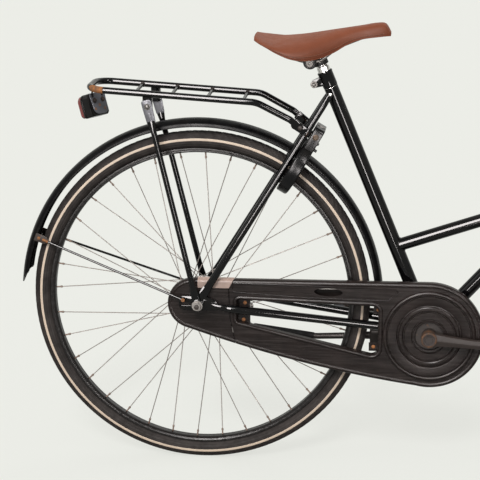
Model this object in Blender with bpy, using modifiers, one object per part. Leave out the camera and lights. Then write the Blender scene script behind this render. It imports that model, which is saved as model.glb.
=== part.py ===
"""A step-through town bicycle with 28 inch wheels, a full chain case and a rear carrier.

Metres, +Z up, +X forward, the drive side at -Y. Both wheels stand on z = 0, and the
origin is midway between the rear mudguard's tail and the front of the front tyre.
"""
import math

import bmesh
import bpy
from mathutils import Matrix, Vector

GAP = 0.0003

# Wheels
WHEELBASE = 1.115
TYRE_RADIUS = 0.348
TYRE_WIDTH = 0.037
RIM_OUTER = 0.3146
RIM_INNER = 0.3043
RIM_WIDTH = 0.027
SPOKE_COUNT = 36
SPOKE_RADIUS = 0.0010
SPOKE_SPREAD = 0.0012
FIRST_NIPPLE_DEGREES = 88.1
SPOKE_CROSS_DEGREES = 60.0
WHEEL_SEGMENTS = 40
REAR_FLANGE_RADIUS = 0.037
REAR_FLANGE_HALF_SPAN = 0.0265
REAR_HUB_RADIUS = 0.023
FRONT_FLANGE_RADIUS = 0.021
FRONT_FLANGE_HALF_SPAN = 0.033
FRONT_HUB_RADIUS = 0.0125
FLANGE_THICKNESS = 0.003
AXLE_RADIUS = 0.0047
AXLE_BORE_RADIUS = 0.0052

# Mudguards
GUARD_CROWN_RADIUS = 0.3745
GUARD_SKIRT_RADIUS = 0.3590
GUARD_HALF_WIDTH = 0.0245
GUARD_THICKNESS = 0.001
GUARD_CLIP_TOP = 0.3632
GUARD_CLIP_FOOT = 0.3340
GUARD_BRIDGE_RADIUS = 0.3545
REAR_GUARD_DEGREES = (-3.2, 177.0)
FRONT_GUARD_DEGREES = (74.0, 214.0)

# Frame
CHAINSTAY_LENGTH = 0.4727
BB_DROP = 0.055
SEAT_ANGLE = 67.3
HEAD_ANGLE = 67.0
SEAT_TUBE_LENGTH = 0.573
SEAT_TUBE_RADIUS = 0.0143
SEAT_TUBE_BORE = 0.0131
SEAT_BORE_DEPTH = 0.300
DOWN_TUBE_RADIUS = 0.0143
UPPER_TUBE_RADIUS = 0.0130
UPPER_TUBE_AT_SEAT = 0.188
UPPER_TUBE_RISE = 18.9
UPPER_TUBE_KNEE = 0.554
UPPER_TUBE_BEND = 0.20
HEAD_TUBE_LENGTH = 0.170
HEAD_TUBE_RADIUS = 0.0175
HEAD_TUBE_BORE = 0.0155
UPPER_JOIN = 0.127
DOWN_JOIN = 0.045
BB_SHELL_RADIUS = 0.0205
BB_SHELL_BORE = 0.0178
BB_HALF_WIDTH = 0.034
STAY_RADIUS = 0.0075
CHAINSTAY_RADIUS = 0.0085
DROPOUT_INNER = 0.0555
DROPOUT_THICKNESS = 0.005
SEAT_STAY_FOOT_Y = 0.0650
SEAT_STAY_TOP_Y = 0.0245
SEAT_STAY_TOP = 0.525
LUG_RADIUS = 0.0150
LUG_LENGTH = 0.034
LUG_EAR_WIDTH = 0.0176
LUG_BOLT_DROP = 0.0166
LUG_BOLT_BEHIND = 0.0283

# Fork and steering
FORK_RAKE = 0.068
AXLE_TO_CROWN = 0.405
HEADSET_STACK = 0.012
STEERER_RADIUS = 0.0135
STEERER_BORE = 0.0114
BLADE_HALF_SPAN = 0.043
FORK_END_HALF_SPAN = 0.0505
QUILL_RADIUS = 0.0110
STEM_EXPOSED = 0.165
STEM_REACH = 0.055
QUILL_DEPTH = 0.110
BAR_RADIUS = 0.0111
BAR_HALF_WIDTH = 0.285
GRIP_LENGTH = 0.125
GRIP_RADIUS = 0.0155

# Drive
CHAINLINE = 0.0435
CHAIN_PITCH = 0.0127
RING_TEETH = 48
SPROCKET_TEETH = 19
TOOTH_RISE = 0.0027
RING_THICKNESS = 0.0030
CHAIN_WIDTH = 0.0084
CHAIN_HALF_HEIGHT = 0.0042
CRANK_LENGTH = 0.170
CRANK_DEGREES = -5.1
CRANK_INNER = 0.0660
CRANK_THICKNESS = 0.0125
CRANK_AXLE_RADIUS = 0.0085
PEDAL_LENGTH = 0.094
PEDAL_WIDTH = 0.066
PEDAL_HEIGHT = 0.026

# Chain case
CASE_FACE = 0.0515
CASE_BACK = 0.0340
CASE_SPLIT = 0.0430
CASE_WALL = 0.0018
CASE_EDGE = 0.0068
CASE_BACK_EDGE = 0.0021
CASE_FRONT_RADIUS = 0.110
CASE_REAR_RADIUS = 0.053
CASE_REAR_OFFSET = Vector((-0.011, 0.0, -0.0025))
CASE_SAG = 0.012
CASE_SEAM = ((0.0744, 0.4005), (0.0626, 0.3820), (0.0655, 0.3163), (0.0778, 0.2599))
CASE_SHAFT_HOLE = 0.0285
UPPER_ARM_REAR = 0.0420
UPPER_ARM_FRONT = 0.0504
LOWER_ARM_REAR = 0.0495
LOWER_ARM_FRONT = 0.0480
WINDOW_LIP = 0.0040
CASE_PANEL_DEPTH = 0.0008
CASE_PANEL = (
    (0.0745, 0.3940), (0.0745, 0.3730), (0.2072, 0.3656),
    (0.3850, 0.3650), (0.4070, 0.3850), (0.3985, 0.3905),
)
WINDOW_REAR = 0.079
WINDOW_FRONT = 0.103

# Saddle and seat post
POST_RADIUS = 0.0127
POST_NECK_RADIUS = 0.0110
POST_TOP = 0.031
POST_INSERTED = 0.150
SADDLE_LENGTH = 0.2676
SADDLE_REAR = 0.1116
SADDLE_HOLLOW = 0.022
SADDLE_PAD = 0.013

# Carrier
RACK_TUBE_RADIUS = 0.0063
RACK_RUNG_RADIUS = 0.0035
RACK_RUNG_FIRST = -0.125
RACK_RUNG_PITCH = 0.0717
RACK_HALF_WIDTH = 0.0550
RACK_REAR = -0.220
RACK_REAR_HEIGHT = 0.786
RACK_BEND = 0.118
RACK_BEND_HEIGHT = 0.7655
RACK_FOOT = 0.2045
RACK_FOOT_HEIGHT = 0.714
RACK_FOOT_Y = 0.0445
RACK_STAY_RADIUS = 0.0058
RACK_STAY_TOP = -0.099
RACK_STAY_DROP = 0.0253

# Tail lamp
LAMP_HALF_WIDTH = 0.0275
LAMP_HALF_HEIGHT = 0.0240
LAMP_YAW = -30.9
LAMP_TILT = -14.3

# Ring lock
LOCK_RADIUS = 0.052
LOCK_HALF_GAP = 27.0
LOCK_BACK = 0.0155
LOCK_FRONT = 0.0095
SHACKLE_RADIUS = 0.0042

# Side stand
STAND_TILT = 12.0
STAND_FOLDED_RISE = 5.0
STAND_LENGTH = 0.246
STAND_LEG_RADIUS = 0.0068
STAND_PIN_RADIUS = 0.0042

REAR_X = (GUARD_CROWN_RADIUS - WHEELBASE - TYRE_RADIUS) / 2
REAR = Vector((REAR_X, 0, TYRE_RADIUS))
FRONT = REAR + Vector((WHEELBASE, 0, 0))
BB = REAR + Vector((math.sqrt(CHAINSTAY_LENGTH**2 - BB_DROP**2), 0, -BB_DROP))
SIDE = Vector((0, 1, 0))
RIGHT, LEFT = -1, 1


def clear(radius, segments):
    """Radius of a many-sided bore whose flats clear a round piece."""
    return (radius + GAP) / math.cos(math.pi / segments)


def rising(degrees):
    """Unit vector in the bicycle's plane, turned up from +X."""
    return Vector((math.cos(math.radians(degrees)), 0, math.sin(math.radians(degrees))))


SEAT_DIR = rising(180 - SEAT_ANGLE)
HEAD_DIR = rising(180 - HEAD_ANGLE)
HEAD_AHEAD = rising(90 - HEAD_ANGLE)
SEAT_TOP = BB + SEAT_DIR * SEAT_TUBE_LENGTH
STEER_FOOT = FRONT - HEAD_AHEAD * FORK_RAKE
CROWN_RACE = STEER_FOOT + HEAD_DIR * AXLE_TO_CROWN
HEAD_BOTTOM = CROWN_RACE + HEAD_DIR * HEADSET_STACK
HEAD_TOP = HEAD_BOTTOM + HEAD_DIR * HEAD_TUBE_LENGTH
RING_RADIUS = CHAIN_PITCH / (2 * math.sin(math.pi / RING_TEETH))
SPROCKET_RADIUS = CHAIN_PITCH / (2 * math.sin(math.pi / SPROCKET_TEETH))
CASE_REAR = REAR + CASE_REAR_OFFSET

for old in list(bpy.data.objects):
    bpy.data.objects.remove(old, do_unlink=True)
parts = bpy.data.collections.new("town_bicycle")
cutters = bpy.data.collections.new("cutters")
bpy.context.scene.collection.children.link(parts)
bpy.context.scene.collection.children.link(cutters)


# Helpers


def from_axle(x, y, z):
    """A point given from the rear axle's foot on the floor."""
    return Vector((REAR_X + x, y, z))


def paint(obj, colour, roughness, metallic=0.0):
    made = bpy.data.materials.new(obj.name + "_finish")
    made.use_nodes = True
    shader = made.node_tree.nodes["Principled BSDF"]
    shader.inputs["Base Color"].default_value = (*colour, 1)
    shader.inputs["Roughness"].default_value = roughness
    shader.inputs["Metallic"].default_value = metallic
    obj.data.materials.clear()
    obj.data.materials.append(made)
    return obj


def black_paint(obj):
    return paint(obj, (0.012, 0.012, 0.014), 0.2)


def chrome(obj):
    return paint(obj, (0.75, 0.74, 0.72), 0.18, 1.0)


def dull_steel(obj):
    return paint(obj, (0.36, 0.34, 0.32), 0.4, 1.0)


def rusty_steel(obj):
    return paint(obj, (0.10, 0.07, 0.055), 0.55, 0.6)


def case_plastic(obj):
    return paint(obj, (0.035, 0.027, 0.024), 0.42)


def black_rubber(obj):
    return paint(obj, (0.02, 0.019, 0.018), 0.7)


def link(name, data, collection=None):
    obj = bpy.data.objects.new(name, data)
    (collection or parts).objects.link(obj)
    return obj


def as_cutter(obj):
    if obj.name in parts.objects:
        parts.objects.unlink(obj)
        cutters.objects.link(obj)
    obj.hide_render = True
    obj.display_type = "WIRE"
    return obj


def as_mesh(obj):
    """The curve as a mesh object of the same name, its caps welded to its sides."""
    bpy.context.view_layer.update()
    graph = bpy.context.evaluated_depsgraph_get()
    made = bpy.data.meshes.new_from_object(obj.evaluated_get(graph))
    bm = bmesh.new()
    bm.from_mesh(made)
    bmesh.ops.remove_doubles(bm, verts=bm.verts, dist=1e-6)
    bmesh.ops.recalc_face_normals(bm, faces=bm.faces)
    bm.to_mesh(made)
    bm.free()
    name, matrix, old = obj.name, obj.matrix_world.copy(), obj.data
    bpy.data.objects.remove(obj, do_unlink=True)
    bpy.data.curves.remove(old)
    new = link(name, made)
    new.matrix_world = matrix
    return new


def smooth(obj, degrees=35):
    obj.data.shade_smooth()
    obj.data.set_sharp_from_angle(angle=math.radians(degrees))
    return obj


def boolean(obj, other, operation):
    made = obj.modifiers.new(operation.lower() + "_" + other.name, "BOOLEAN")
    made.operation = operation
    made.solver = "EXACT"
    made.object = as_cutter(other)
    return obj


def cut(obj, *others):
    for other in others:
        boolean(obj, other, "DIFFERENCE")
    return obj


def join(obj, *others):
    for other in others:
        boolean(obj, other, "UNION")
    return obj


def bevel(obj, width, segments=2, degrees=40):
    made = obj.modifiers.new("rounded_edges", "BEVEL")
    made.width = width
    made.segments = segments
    made.limit_method = "ANGLE"
    made.angle_limit = math.radians(degrees)
    made.harden_normals = False
    return obj


def tube(name, points, radius, sides=12, radii=None, closed=False):
    """A bent bar along points; radii scales the radius at each point."""
    curve = bpy.data.curves.new(name, "CURVE")
    curve.dimensions = "3D"
    curve.fill_mode = "FULL"
    curve.bevel_depth = radius
    curve.bevel_resolution = max(0, sides // 2 - 2)
    curve.use_fill_caps = True
    spline = curve.splines.new("POLY")
    spline.points.add(len(points) - 1)
    spline.use_cyclic_u = closed
    for index, point in enumerate(points):
        spline.points[index].co = (*point, 1)
        spline.points[index].radius = radii[index] if radii else 1.0
    return link(name, curve)


def rounded(points, radii, step_degrees=10):
    """The corners of a path turned into arcs, one radius for each inner corner."""
    path = [points[0].copy()]
    for index in range(1, len(points) - 1):
        corner = points[index]
        back = (points[index - 1] - corner).normalized()
        ahead = (points[index + 1] - corner).normalized()
        turn = math.pi - back.angle(ahead)
        if turn < 1e-4:
            path.append(corner.copy())
            continue
        reach = radii[index - 1] * math.tan(turn / 2)
        centre = corner + (back + ahead).normalized() * radii[index - 1] / math.cos(turn / 2)
        start = corner + back * reach - centre
        axis = start.cross(corner + ahead * reach - centre).normalized()
        steps = max(2, round(math.degrees(turn) / step_degrees))
        for step in range(steps + 1):
            path.append(centre + Matrix.Rotation(turn * step / steps, 3, axis) @ start)
    path.append(points[-1].copy())
    return path


def align(obj, origin, axis):
    """Puts the object's origin at a point and its local Z along an axis."""
    obj.location = origin
    obj.rotation_mode = "QUATERNION"
    obj.rotation_quaternion = Vector(axis).to_track_quat("Z", "Y")
    return obj


def face_wheel(obj, centre, degrees=0.0):
    """Local X along the angle in the bicycle's plane, local Z towards the drive side."""
    start = rising(degrees)
    ahead = rising(degrees + 90)
    turn = Matrix((start, ahead, -SIDE)).transposed().to_4x4()
    obj.matrix_world = Matrix.Translation(centre) @ turn
    return obj


def turned(name, profile, segments, closed=False, sweep=360.0):
    """A profile of (radius, height) turned about local Z, its outer side top to bottom."""
    mesh = bpy.data.meshes.new(name)
    points = [(radius, 0, height) for radius, height in profile]
    edges = [(index, index + 1) for index in range(len(points) - 1)]
    if closed:
        edges.append((len(points) - 1, 0))
    mesh.from_pydata(points, edges, [])
    obj = link(name, mesh)
    screw = obj.modifiers.new("turned", "SCREW")
    screw.axis = "Z"
    screw.angle = math.radians(sweep)
    screw.steps = segments
    screw.render_steps = segments
    screw.use_merge_vertices = True
    screw.merge_threshold = 0.00001
    screw.use_smooth_shade = True
    return obj


def rod(name, start, end, radius, segments=20):
    """A plain cylinder between two points."""
    span = end - start
    outline = [(0, span.length), (radius, span.length), (radius, 0), (0, 0)]
    return align(turned(name, outline, segments), start, span)


def sleeve(name, start, end, outer, inner, segments=24):
    """A tube with a bore between two points."""
    length = (end - start).length
    outline = [(outer, length), (outer, 0), (inner, 0), (inner, length)]
    return align(turned(name, outline, segments, closed=True), start, end - start)


def plate(name, outlines, thickness, y):
    """Flat outlines in the bicycle's plane, each a list of (x, z), made into a plate."""
    curve = bpy.data.curves.new(name, "CURVE")
    curve.dimensions = "2D"
    curve.fill_mode = "BOTH"
    curve.extrude = thickness / 2
    for outline in outlines:
        spline = curve.splines.new("POLY")
        spline.points.add(len(outline) - 1)
        spline.use_cyclic_u = True
        for index, (x, z) in enumerate(outline):
            spline.points[index].co = (x, z, 0, 1)
    obj = link(name, curve)
    obj.rotation_euler = (math.pi / 2, 0, 0)
    obj.location = (0, y, 0)
    return as_mesh(obj)


def skin(name, rings):
    """A closed solid through rings of points that all have the same count."""
    bm = bmesh.new()
    loops = [[bm.verts.new(point) for point in ring] for ring in rings]
    size = len(loops[0])
    for first, second in zip(loops, loops[1:]):
        for step in range(size):
            other = (step + 1) % size
            bm.faces.new((first[step], first[other], second[other], second[step]))
    bm.faces.new(loops[0])
    bm.faces.new(loops[-1])
    bmesh.ops.recalc_face_normals(bm, faces=bm.faces)
    mesh = bpy.data.meshes.new(name)
    bm.to_mesh(mesh)
    bm.free()
    return link(name, mesh)


def loft(name, levels):
    """A solid through outlines of (x, z), each at its own y."""
    return skin(name, [[(x, y, z) for x, z in outline] for outline, y in levels])


def box(name, low, high):
    mesh = bpy.data.meshes.new(name)
    bm = bmesh.new()
    bmesh.ops.create_cube(bm, size=1)
    span = [top - bottom for top, bottom in zip(high, low)]
    middle = [(top + bottom) / 2 for top, bottom in zip(high, low)]
    bmesh.ops.scale(bm, vec=span, verts=bm.verts)
    bmesh.ops.translate(bm, vec=middle, verts=bm.verts)
    bm.to_mesh(mesh)
    bm.free()
    return link(name, mesh)


def arc(centre, radius, start, end, count):
    """Points (x, z) round a centre, from one angle in degrees to another."""
    found = []
    for index in range(count + 1):
        angle = math.radians(start + (end - start) * index / count)
        found.append((centre[0] + radius * math.cos(angle), centre[2] + radius * math.sin(angle)))
    return found


def belt(rear, rear_radius, front, front_radius, rear_count, front_count, sag=0.0):
    """The outline round two circles, with its lower run bowed down by sag."""
    span = front - rear
    slope = math.degrees(math.atan2(span.z, span.x))
    lean = math.degrees(math.asin((front_radius - rear_radius) / span.length))
    top = slope + lean + 90
    bottom = slope - lean - 90
    outline = arc(front, front_radius, bottom, top, front_count)
    outline += arc(rear, rear_radius, top, bottom + 360, rear_count)
    if sag:
        last, first = outline[-1], outline[0]
        steps = 6
        for step in range(1, steps):
            share = step / steps
            drop = 4 * sag * share * (1 - share)
            x = last[0] + (first[0] - last[0]) * share
            outline.append((x, last[1] + (first[1] - last[1]) * share - drop))
    return outline


def flat_rounded(points, radii, steps=4):
    """A closed outline of (x, z) corners, each rounded by its own radius."""
    found = []
    count = len(points)
    for index in range(count):
        corner = Vector(points[index])
        back = (Vector(points[index - 1]) - corner).normalized()
        ahead = (Vector(points[(index + 1) % count]) - corner).normalized()
        half = back.angle(ahead) / 2
        reach = radii[index] / math.tan(half)
        centre = corner + (back + ahead).normalized() * radii[index] / math.sin(half)
        start = corner + back * reach - centre
        end = corner + ahead * reach - centre
        sweep = start.angle_signed(end)
        for step in range(steps + 1):
            turn = Matrix.Rotation(-sweep * step / steps, 2)
            found.append(tuple(centre + turn @ start))
    return found


# Wheels


def tyre(name, centre):
    minor = TYRE_WIDTH / 2
    middle = TYRE_RADIUS - minor
    points = []
    tread = math.cos(math.radians(20.3))
    for index in range(7):
        angle = math.radians(142 - 284 * index / 6)
        rise = min(1.0, math.cos(angle) / tread) if math.cos(angle) > 0 else math.cos(angle)
        points.append((middle + minor * rise, minor * math.sin(angle)))
    obj = turned(name, points, WHEEL_SEGMENTS, closed=True)
    return black_rubber(face_wheel(obj, centre, -90))


def rim(name, centre):
    half = RIM_WIDTH / 2
    outline = [
        (RIM_OUTER, half - 0.0010),
        (RIM_OUTER, 0.0010 - half),
        (RIM_OUTER - 0.0035, -half),
        (RIM_INNER, -0.0070),
        (RIM_INNER, 0.0070),
        (RIM_OUTER - 0.0035, half),
    ]
    obj = turned(name, outline, WHEEL_SEGMENTS, closed=True)
    return paint(face_wheel(obj, centre, -90), (0.015, 0.014, 0.014), 0.25)


def spoke_ends(centre, index, flange_radius, half_span):
    """Where a spoke leaves its flange and where it meets the rim."""
    nipple = FIRST_NIPPLE_DEGREES - 360 / SPOKE_COUNT * index
    side = RIGHT if index % 2 == 0 else LEFT
    lean = -1 if index % 4 in (0, 3) else 1
    hole = nipple + lean * SPOKE_CROSS_DEGREES
    way = SIDE * (side * half_span + SPOKE_SPREAD * lean)
    start = centre + rising(hole) * (flange_radius - 0.0035) + way
    rim_flat = RIM_INNER * math.cos(math.pi / WHEEL_SEGMENTS)
    end = centre + rising(nipple) * (rim_flat - GAP) + SIDE * (side * 0.0025 + SPOKE_SPREAD * lean)
    return start, end


def laced_hub(name, centre, flange_radius, half_span, barrel, half_length):
    """A hub shell turned in one piece, with every spoke joined to its flanges."""
    edge = half_span + FLANGE_THICKNESS / 2
    inner = half_span - FLANGE_THICKNESS / 2
    lip = flange_radius * 0.62
    outline = [
        (AXLE_BORE_RADIUS, half_length),
        (lip, edge + 0.0002),
        (flange_radius, edge),
        (flange_radius, inner),
        (barrel, inner - 0.003),
    ]
    outline += [(radius, -height) for radius, height in reversed(outline)]
    hub = face_wheel(turned(name, outline, 10, closed=True), centre)
    spokes = bpy.data.collections.new(name + "_spokes")
    cutters.children.link(spokes)
    for index in range(SPOKE_COUNT):
        start, end = spoke_ends(centre, index, flange_radius, half_span)
        spoke = rod(f"{name}_spoke_{index}", start, end, SPOKE_RADIUS, 3)
        parts.objects.unlink(spoke)
        spokes.objects.link(spoke)
        spoke.hide_render = True
        spoke.display_type = "WIRE"
    made = hub.modifiers.new("spokes", "BOOLEAN")
    made.operation = "UNION"
    made.solver = "EXACT"
    made.operand_type = "COLLECTION"
    made.collection = spokes
    return dull_steel(hub)


def nutted_axle(name, centre, half_length, nut_from, nut_to, cone_from, cone_to):
    """An axle with its cones, washers and nuts, turned in one piece."""
    outline = [
        (0, half_length),
        (AXLE_RADIUS, half_length - 0.0008),
        (AXLE_RADIUS, nut_to),
        (0.0086, nut_to - 0.0010),
        (0.0086, nut_from + 0.0015),
        (0.0110, nut_from + 0.0015),
        (0.0110, nut_from),
        (AXLE_RADIUS, nut_from),
        (AXLE_RADIUS, cone_to),
        (0.0080, cone_to),
        (0.0080, cone_from),
        (AXLE_RADIUS, cone_from),
    ]
    outline += [(radius, -height) for radius, height in reversed(outline)]
    return chrome(face_wheel(turned(name, outline, 6), centre))


def mudguard(name, centre, degrees, segments):
    """A domed strip bent round the wheel, rolled in thin sheet."""
    start, end = degrees
    points = []
    for index in range(5):
        angle = math.radians(90 - 45 * index)
        radius = GUARD_SKIRT_RADIUS + (GUARD_CROWN_RADIUS - GUARD_SKIRT_RADIUS) * math.cos(angle)
        points.append((radius, GUARD_HALF_WIDTH * math.sin(angle)))
    obj = turned(name, points, segments, sweep=end - start)
    solid = obj.modifiers.new("sheet", "SOLIDIFY")
    solid.thickness = GUARD_THICKNESS
    solid.offset = -1
    return black_paint(face_wheel(obj, centre, start))


def guard_stay(name, centre, degrees, foot, foot_y, clip_y, radius=0.0019):
    """Two wires from beside the axle to clips on the skirt, with a bridge under the guard."""
    out = rising(degrees)
    along = rising(degrees + 90)
    bridge = centre + out * GUARD_BRIDGE_RADIUS
    reach = SIDE * (clip_y + 0.0008)
    stay = rod(name, bridge - reach, bridge + reach, radius, 6)
    clip = [
        centre + out * GUARD_CLIP_TOP - along * 0.0085,
        centre + out * GUARD_CLIP_TOP + along * 0.0085,
        centre + out * (GUARD_CLIP_FOOT + 0.006) + along * 0.0080,
        centre + out * GUARD_CLIP_FOOT + along * 0.0030,
        centre + out * GUARD_CLIP_FOOT - along * 0.0030,
        centre + out * (GUARD_CLIP_FOOT + 0.006) - along * 0.0080,
    ]
    for side, hand in ((RIGHT, "right"), (LEFT, "left")):
        shape = [(point.x, point.z) for point in clip]
        join(stay, plate(f"{name}_{hand}_clip", [shape], 0.0012, side * clip_y))
        start = foot + SIDE * side * foot_y
        end = centre + out * (GUARD_CLIP_FOOT + 0.008) + SIDE * side * (clip_y + 0.0016)
        join(stay, rod(f"{name}_{hand}_wire", start, end, radius, 6))
        eye = foot + SIDE * side * (foot_y - 0.0022)
        join(stay, rod(f"{name}_{hand}_eye", eye, eye + SIDE * side * 0.0048, 0.0050, 8))
    return stay


tyre("rear_tyre", REAR)
tyre("front_tyre", FRONT)
rim("rear_rim", REAR)
rim("front_rim", FRONT)
laced_hub(
    "rear_hub_and_spokes", REAR, REAR_FLANGE_RADIUS, REAR_FLANGE_HALF_SPAN, REAR_HUB_RADIUS, 0.0300
)
laced_hub(
    "front_hub_and_spokes", FRONT, FRONT_FLANGE_RADIUS, FRONT_FLANGE_HALF_SPAN, FRONT_HUB_RADIUS, 0.0400
)
nutted_axle("rear_axle", REAR, 0.0850, 0.0715, 0.0800, 0.0522, 0.0552)
nutted_axle("front_axle", FRONT, 0.0660, FORK_END_HALF_SPAN + 0.0028, 0.0620, 0.0403, 0.0479)
mudguard("rear_mudguard", REAR, REAR_GUARD_DEGREES, 26)
front_guard = mudguard("front_mudguard", FRONT, FRONT_GUARD_DEGREES, 20)
fork_eye = FRONT + Vector((-0.0165, 0, 0.0125))
join(front_guard, guard_stay("front_mudguard_stay", FRONT, 193.0, fork_eye, 0.0602, GUARD_HALF_WIDTH - 0.0006))


# Frame


def straight_tube(name, start, end, radius, sides=16):
    return as_mesh(tube(name, [start, end], radius, sides))


def notch(name, point, axis, radius, reach=0.08):
    """A cylinder that shapes a tube's end to the round piece it meets."""
    step = Vector(axis).normalized() * reach
    return rod(name, point - step, point + step, radius + GAP, 24)


half_shell = SIDE * BB_HALF_WIDTH
black_paint(
    sleeve("bottom_bracket_shell", BB - half_shell, BB + half_shell, BB_SHELL_RADIUS, BB_SHELL_BORE, 16)
)

seat_outline = [
    (SEAT_TUBE_RADIUS, SEAT_TUBE_LENGTH - 0.0345),
    (SEAT_TUBE_RADIUS, 0),
    (0, 0),
    (0, SEAT_TUBE_LENGTH - SEAT_BORE_DEPTH),
    (SEAT_TUBE_BORE, SEAT_TUBE_LENGTH - SEAT_BORE_DEPTH),
    (SEAT_TUBE_BORE, SEAT_TUBE_LENGTH - 0.0345),
    (SEAT_TUBE_RADIUS, SEAT_TUBE_LENGTH - 0.0345),
]
seat_tube = align(turned("seat_tube", seat_outline, 16), BB, SEAT_DIR)
cut(seat_tube, notch("bb_notch_seat", BB, SIDE, BB_SHELL_RADIUS))
black_paint(seat_tube)

head_tube = sleeve("head_tube", HEAD_BOTTOM, HEAD_TOP, HEAD_TUBE_RADIUS, HEAD_TUBE_BORE, 16)
black_paint(head_tube)

down_end = HEAD_BOTTOM + HEAD_DIR * DOWN_JOIN
down_tube = straight_tube("down_tube", BB, down_end, DOWN_TUBE_RADIUS)
cut(
    down_tube,
    notch("bb_notch_down", BB, SIDE, BB_SHELL_RADIUS),
    notch("head_notch_down", down_end, HEAD_DIR, HEAD_TUBE_RADIUS),
    notch("seat_notch_down", BB, SEAT_DIR, SEAT_TUBE_RADIUS, 0.2),
)
black_paint(down_tube)

upper_start = BB + SEAT_DIR * UPPER_TUBE_AT_SEAT
upper_end = HEAD_BOTTOM + HEAD_DIR * UPPER_JOIN
low_way = rising(UPPER_TUBE_RISE)
knee = upper_start + low_way * ((upper_end - upper_start).x * UPPER_TUBE_KNEE / low_way.x)
upper_path = rounded([upper_start, knee, upper_end], [UPPER_TUBE_BEND], 6)
upper_tube = as_mesh(tube("upper_tube", upper_path, UPPER_TUBE_RADIUS, 12))
cut(
    upper_tube,
    notch("seat_notch_upper", upper_start, SEAT_DIR, SEAT_TUBE_RADIUS),
    notch("head_notch_upper", upper_end, HEAD_DIR, HEAD_TUBE_RADIUS),
)
black_paint(upper_tube)


def chainstay_point(x, side):
    """A point on a chainstay's straight run at a distance ahead of the axle."""
    rear = from_axle(0.075, side * 0.0596, TYRE_RADIUS - 0.0085)
    waist = BB + Vector((-0.100, side * 0.0318, 0.0125))
    return rear + (waist - rear) * (REAR_X + x - rear.x) / (waist.x - rear.x)


def chainstay(name, side):
    """A tapered tube from the bottom bracket to a flat end slotted for the axle."""
    y = side * (DROPOUT_INNER + DROPOUT_THICKNESS / 2)
    path = [
        from_axle(0.026, y, TYRE_RADIUS - 0.002),
        chainstay_point(0.075, side),
        chainstay_point(CHAINSTAY_LENGTH - 0.103, side),
        BB + SIDE * side * 0.0245,
    ]
    stay = as_mesh(tube(name, path, CHAINSTAY_RADIUS, 8, [0.62, 0.85, 0.96, 1.0]))
    end = flat_rounded(
        [
            (REAR_X + 0.040, TYRE_RADIUS - 0.012),
            (REAR_X + 0.040, TYRE_RADIUS + 0.006),
            (REAR_X + 0.018, TYRE_RADIUS + 0.0165),
            (REAR_X - 0.038, TYRE_RADIUS + 0.0165),
            (REAR_X - 0.038, TYRE_RADIUS - 0.013),
        ],
        [0.004, 0.008, 0.008, 0.008, 0.008],
    )
    dropout = plate(name + "_dropout", [end], DROPOUT_THICKNESS, y)
    slot = belt(REAR + Vector((-0.08, 0, 0)), 0.0051, REAR, AXLE_BORE_RADIUS, 3, 8)
    cut(dropout, plate(name + "_slot", [slot], 0.02, y))
    join(stay, dropout)
    cut(stay, notch(name + "_notch", BB, SIDE, BB_SHELL_RADIUS))
    return black_paint(stay)


def seat_stay(name, side):
    """A tube from the seat tube's flank down to the outside of the dropout."""
    foot = REAR + Vector((0.001, side * SEAT_STAY_FOOT_Y, 0.004))
    top = BB + SEAT_DIR * SEAT_STAY_TOP + Vector((-0.006, side * SEAT_STAY_TOP_Y, 0))
    way = (top - foot).normalized()
    path = [foot + way * 0.020, foot + way * 0.060, top - way * 0.020, top + way * 0.004]
    stay = as_mesh(tube(name, path, STAY_RADIUS, 8, [0.55, 1.0, 1.0, 0.6]))
    eye = arc(REAR, 0.0125, 180, 400, 8) + [(REAR_X + 0.026, TYRE_RADIUS + 0.030)]
    foot_plate = plate(
        name + "_foot",
        [[(x + 0.001, z + 0.002) for x, z in eye] + [(REAR_X + 0.010, TYRE_RADIUS + 0.040)]],
        0.0035,
        side * 0.0628,
    )
    hole = rod(name + "_hole", REAR - SIDE * 0.1, REAR + SIDE * 0.1, AXLE_BORE_RADIUS, 10)
    join(stay, foot_plate)
    cut(stay, hole, notch(name + "_notch", BB, SEAT_DIR, SEAT_TUBE_RADIUS, 0.7))
    return black_paint(stay)


for side, hand in ((RIGHT, "right"), (LEFT, "left")):
    chainstay(hand + "_chainstay", side)
    seat_stay(hand + "_seat_stay", side)
    cup_y = side * (BB_HALF_WIDTH + GAP)
    cup_outline = [
        (BB_SHELL_RADIUS - 0.001, 0.0028),
        (BB_SHELL_RADIUS - 0.001, 0),
        (BB_SHELL_BORE - GAP * 2, 0),
        (BB_SHELL_BORE - GAP * 2, -0.011),
        (CRANK_AXLE_RADIUS + 0.0005, -0.011),
        (CRANK_AXLE_RADIUS + 0.0005, 0.0028),
    ]
    cup = turned(hand + "_bottom_bracket_cup", cup_outline, 12, closed=True)
    dull_steel(align(cup, BB + SIDE * cup_y, SIDE * side))

lug_bottom = SEAT_TOP - SEAT_DIR * LUG_LENGTH
lug = rod("seat_lug", lug_bottom, SEAT_TOP, LUG_RADIUS, 16)
lug_behind = Vector((-SEAT_DIR.z, 0, SEAT_DIR.x))
bolt_at = SEAT_TOP - SEAT_DIR * LUG_BOLT_DROP + lug_behind * LUG_BOLT_BEHIND
ear_root = SEAT_TOP - SEAT_DIR * 0.018
ear = plate("lug_ear", [belt(bolt_at, 0.0072, ear_root, 0.0105, 6, 3)], LUG_EAR_WIDTH, 0)
lug_bore = rod("lug_bore", lug_bottom - SEAT_DIR * 0.05, SEAT_TOP + SEAT_DIR * 0.05, SEAT_TUBE_BORE, 16)
split = box("lug_split", (-0.0012, 0, -0.05), (0.0012, 0.05, 0.05))
split.matrix_world = Matrix.Translation(SEAT_TOP) @ Matrix(
    (SIDE, lug_behind, SEAT_DIR)
).transposed().to_4x4()
lug_bolt_hole = rod("lug_bolt_hole", bolt_at - SIDE * 0.03, bolt_at + SIDE * 0.03, 0.0030, 8)
join(lug, ear)
cut(lug, lug_bore, split, lug_bolt_hole)
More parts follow.
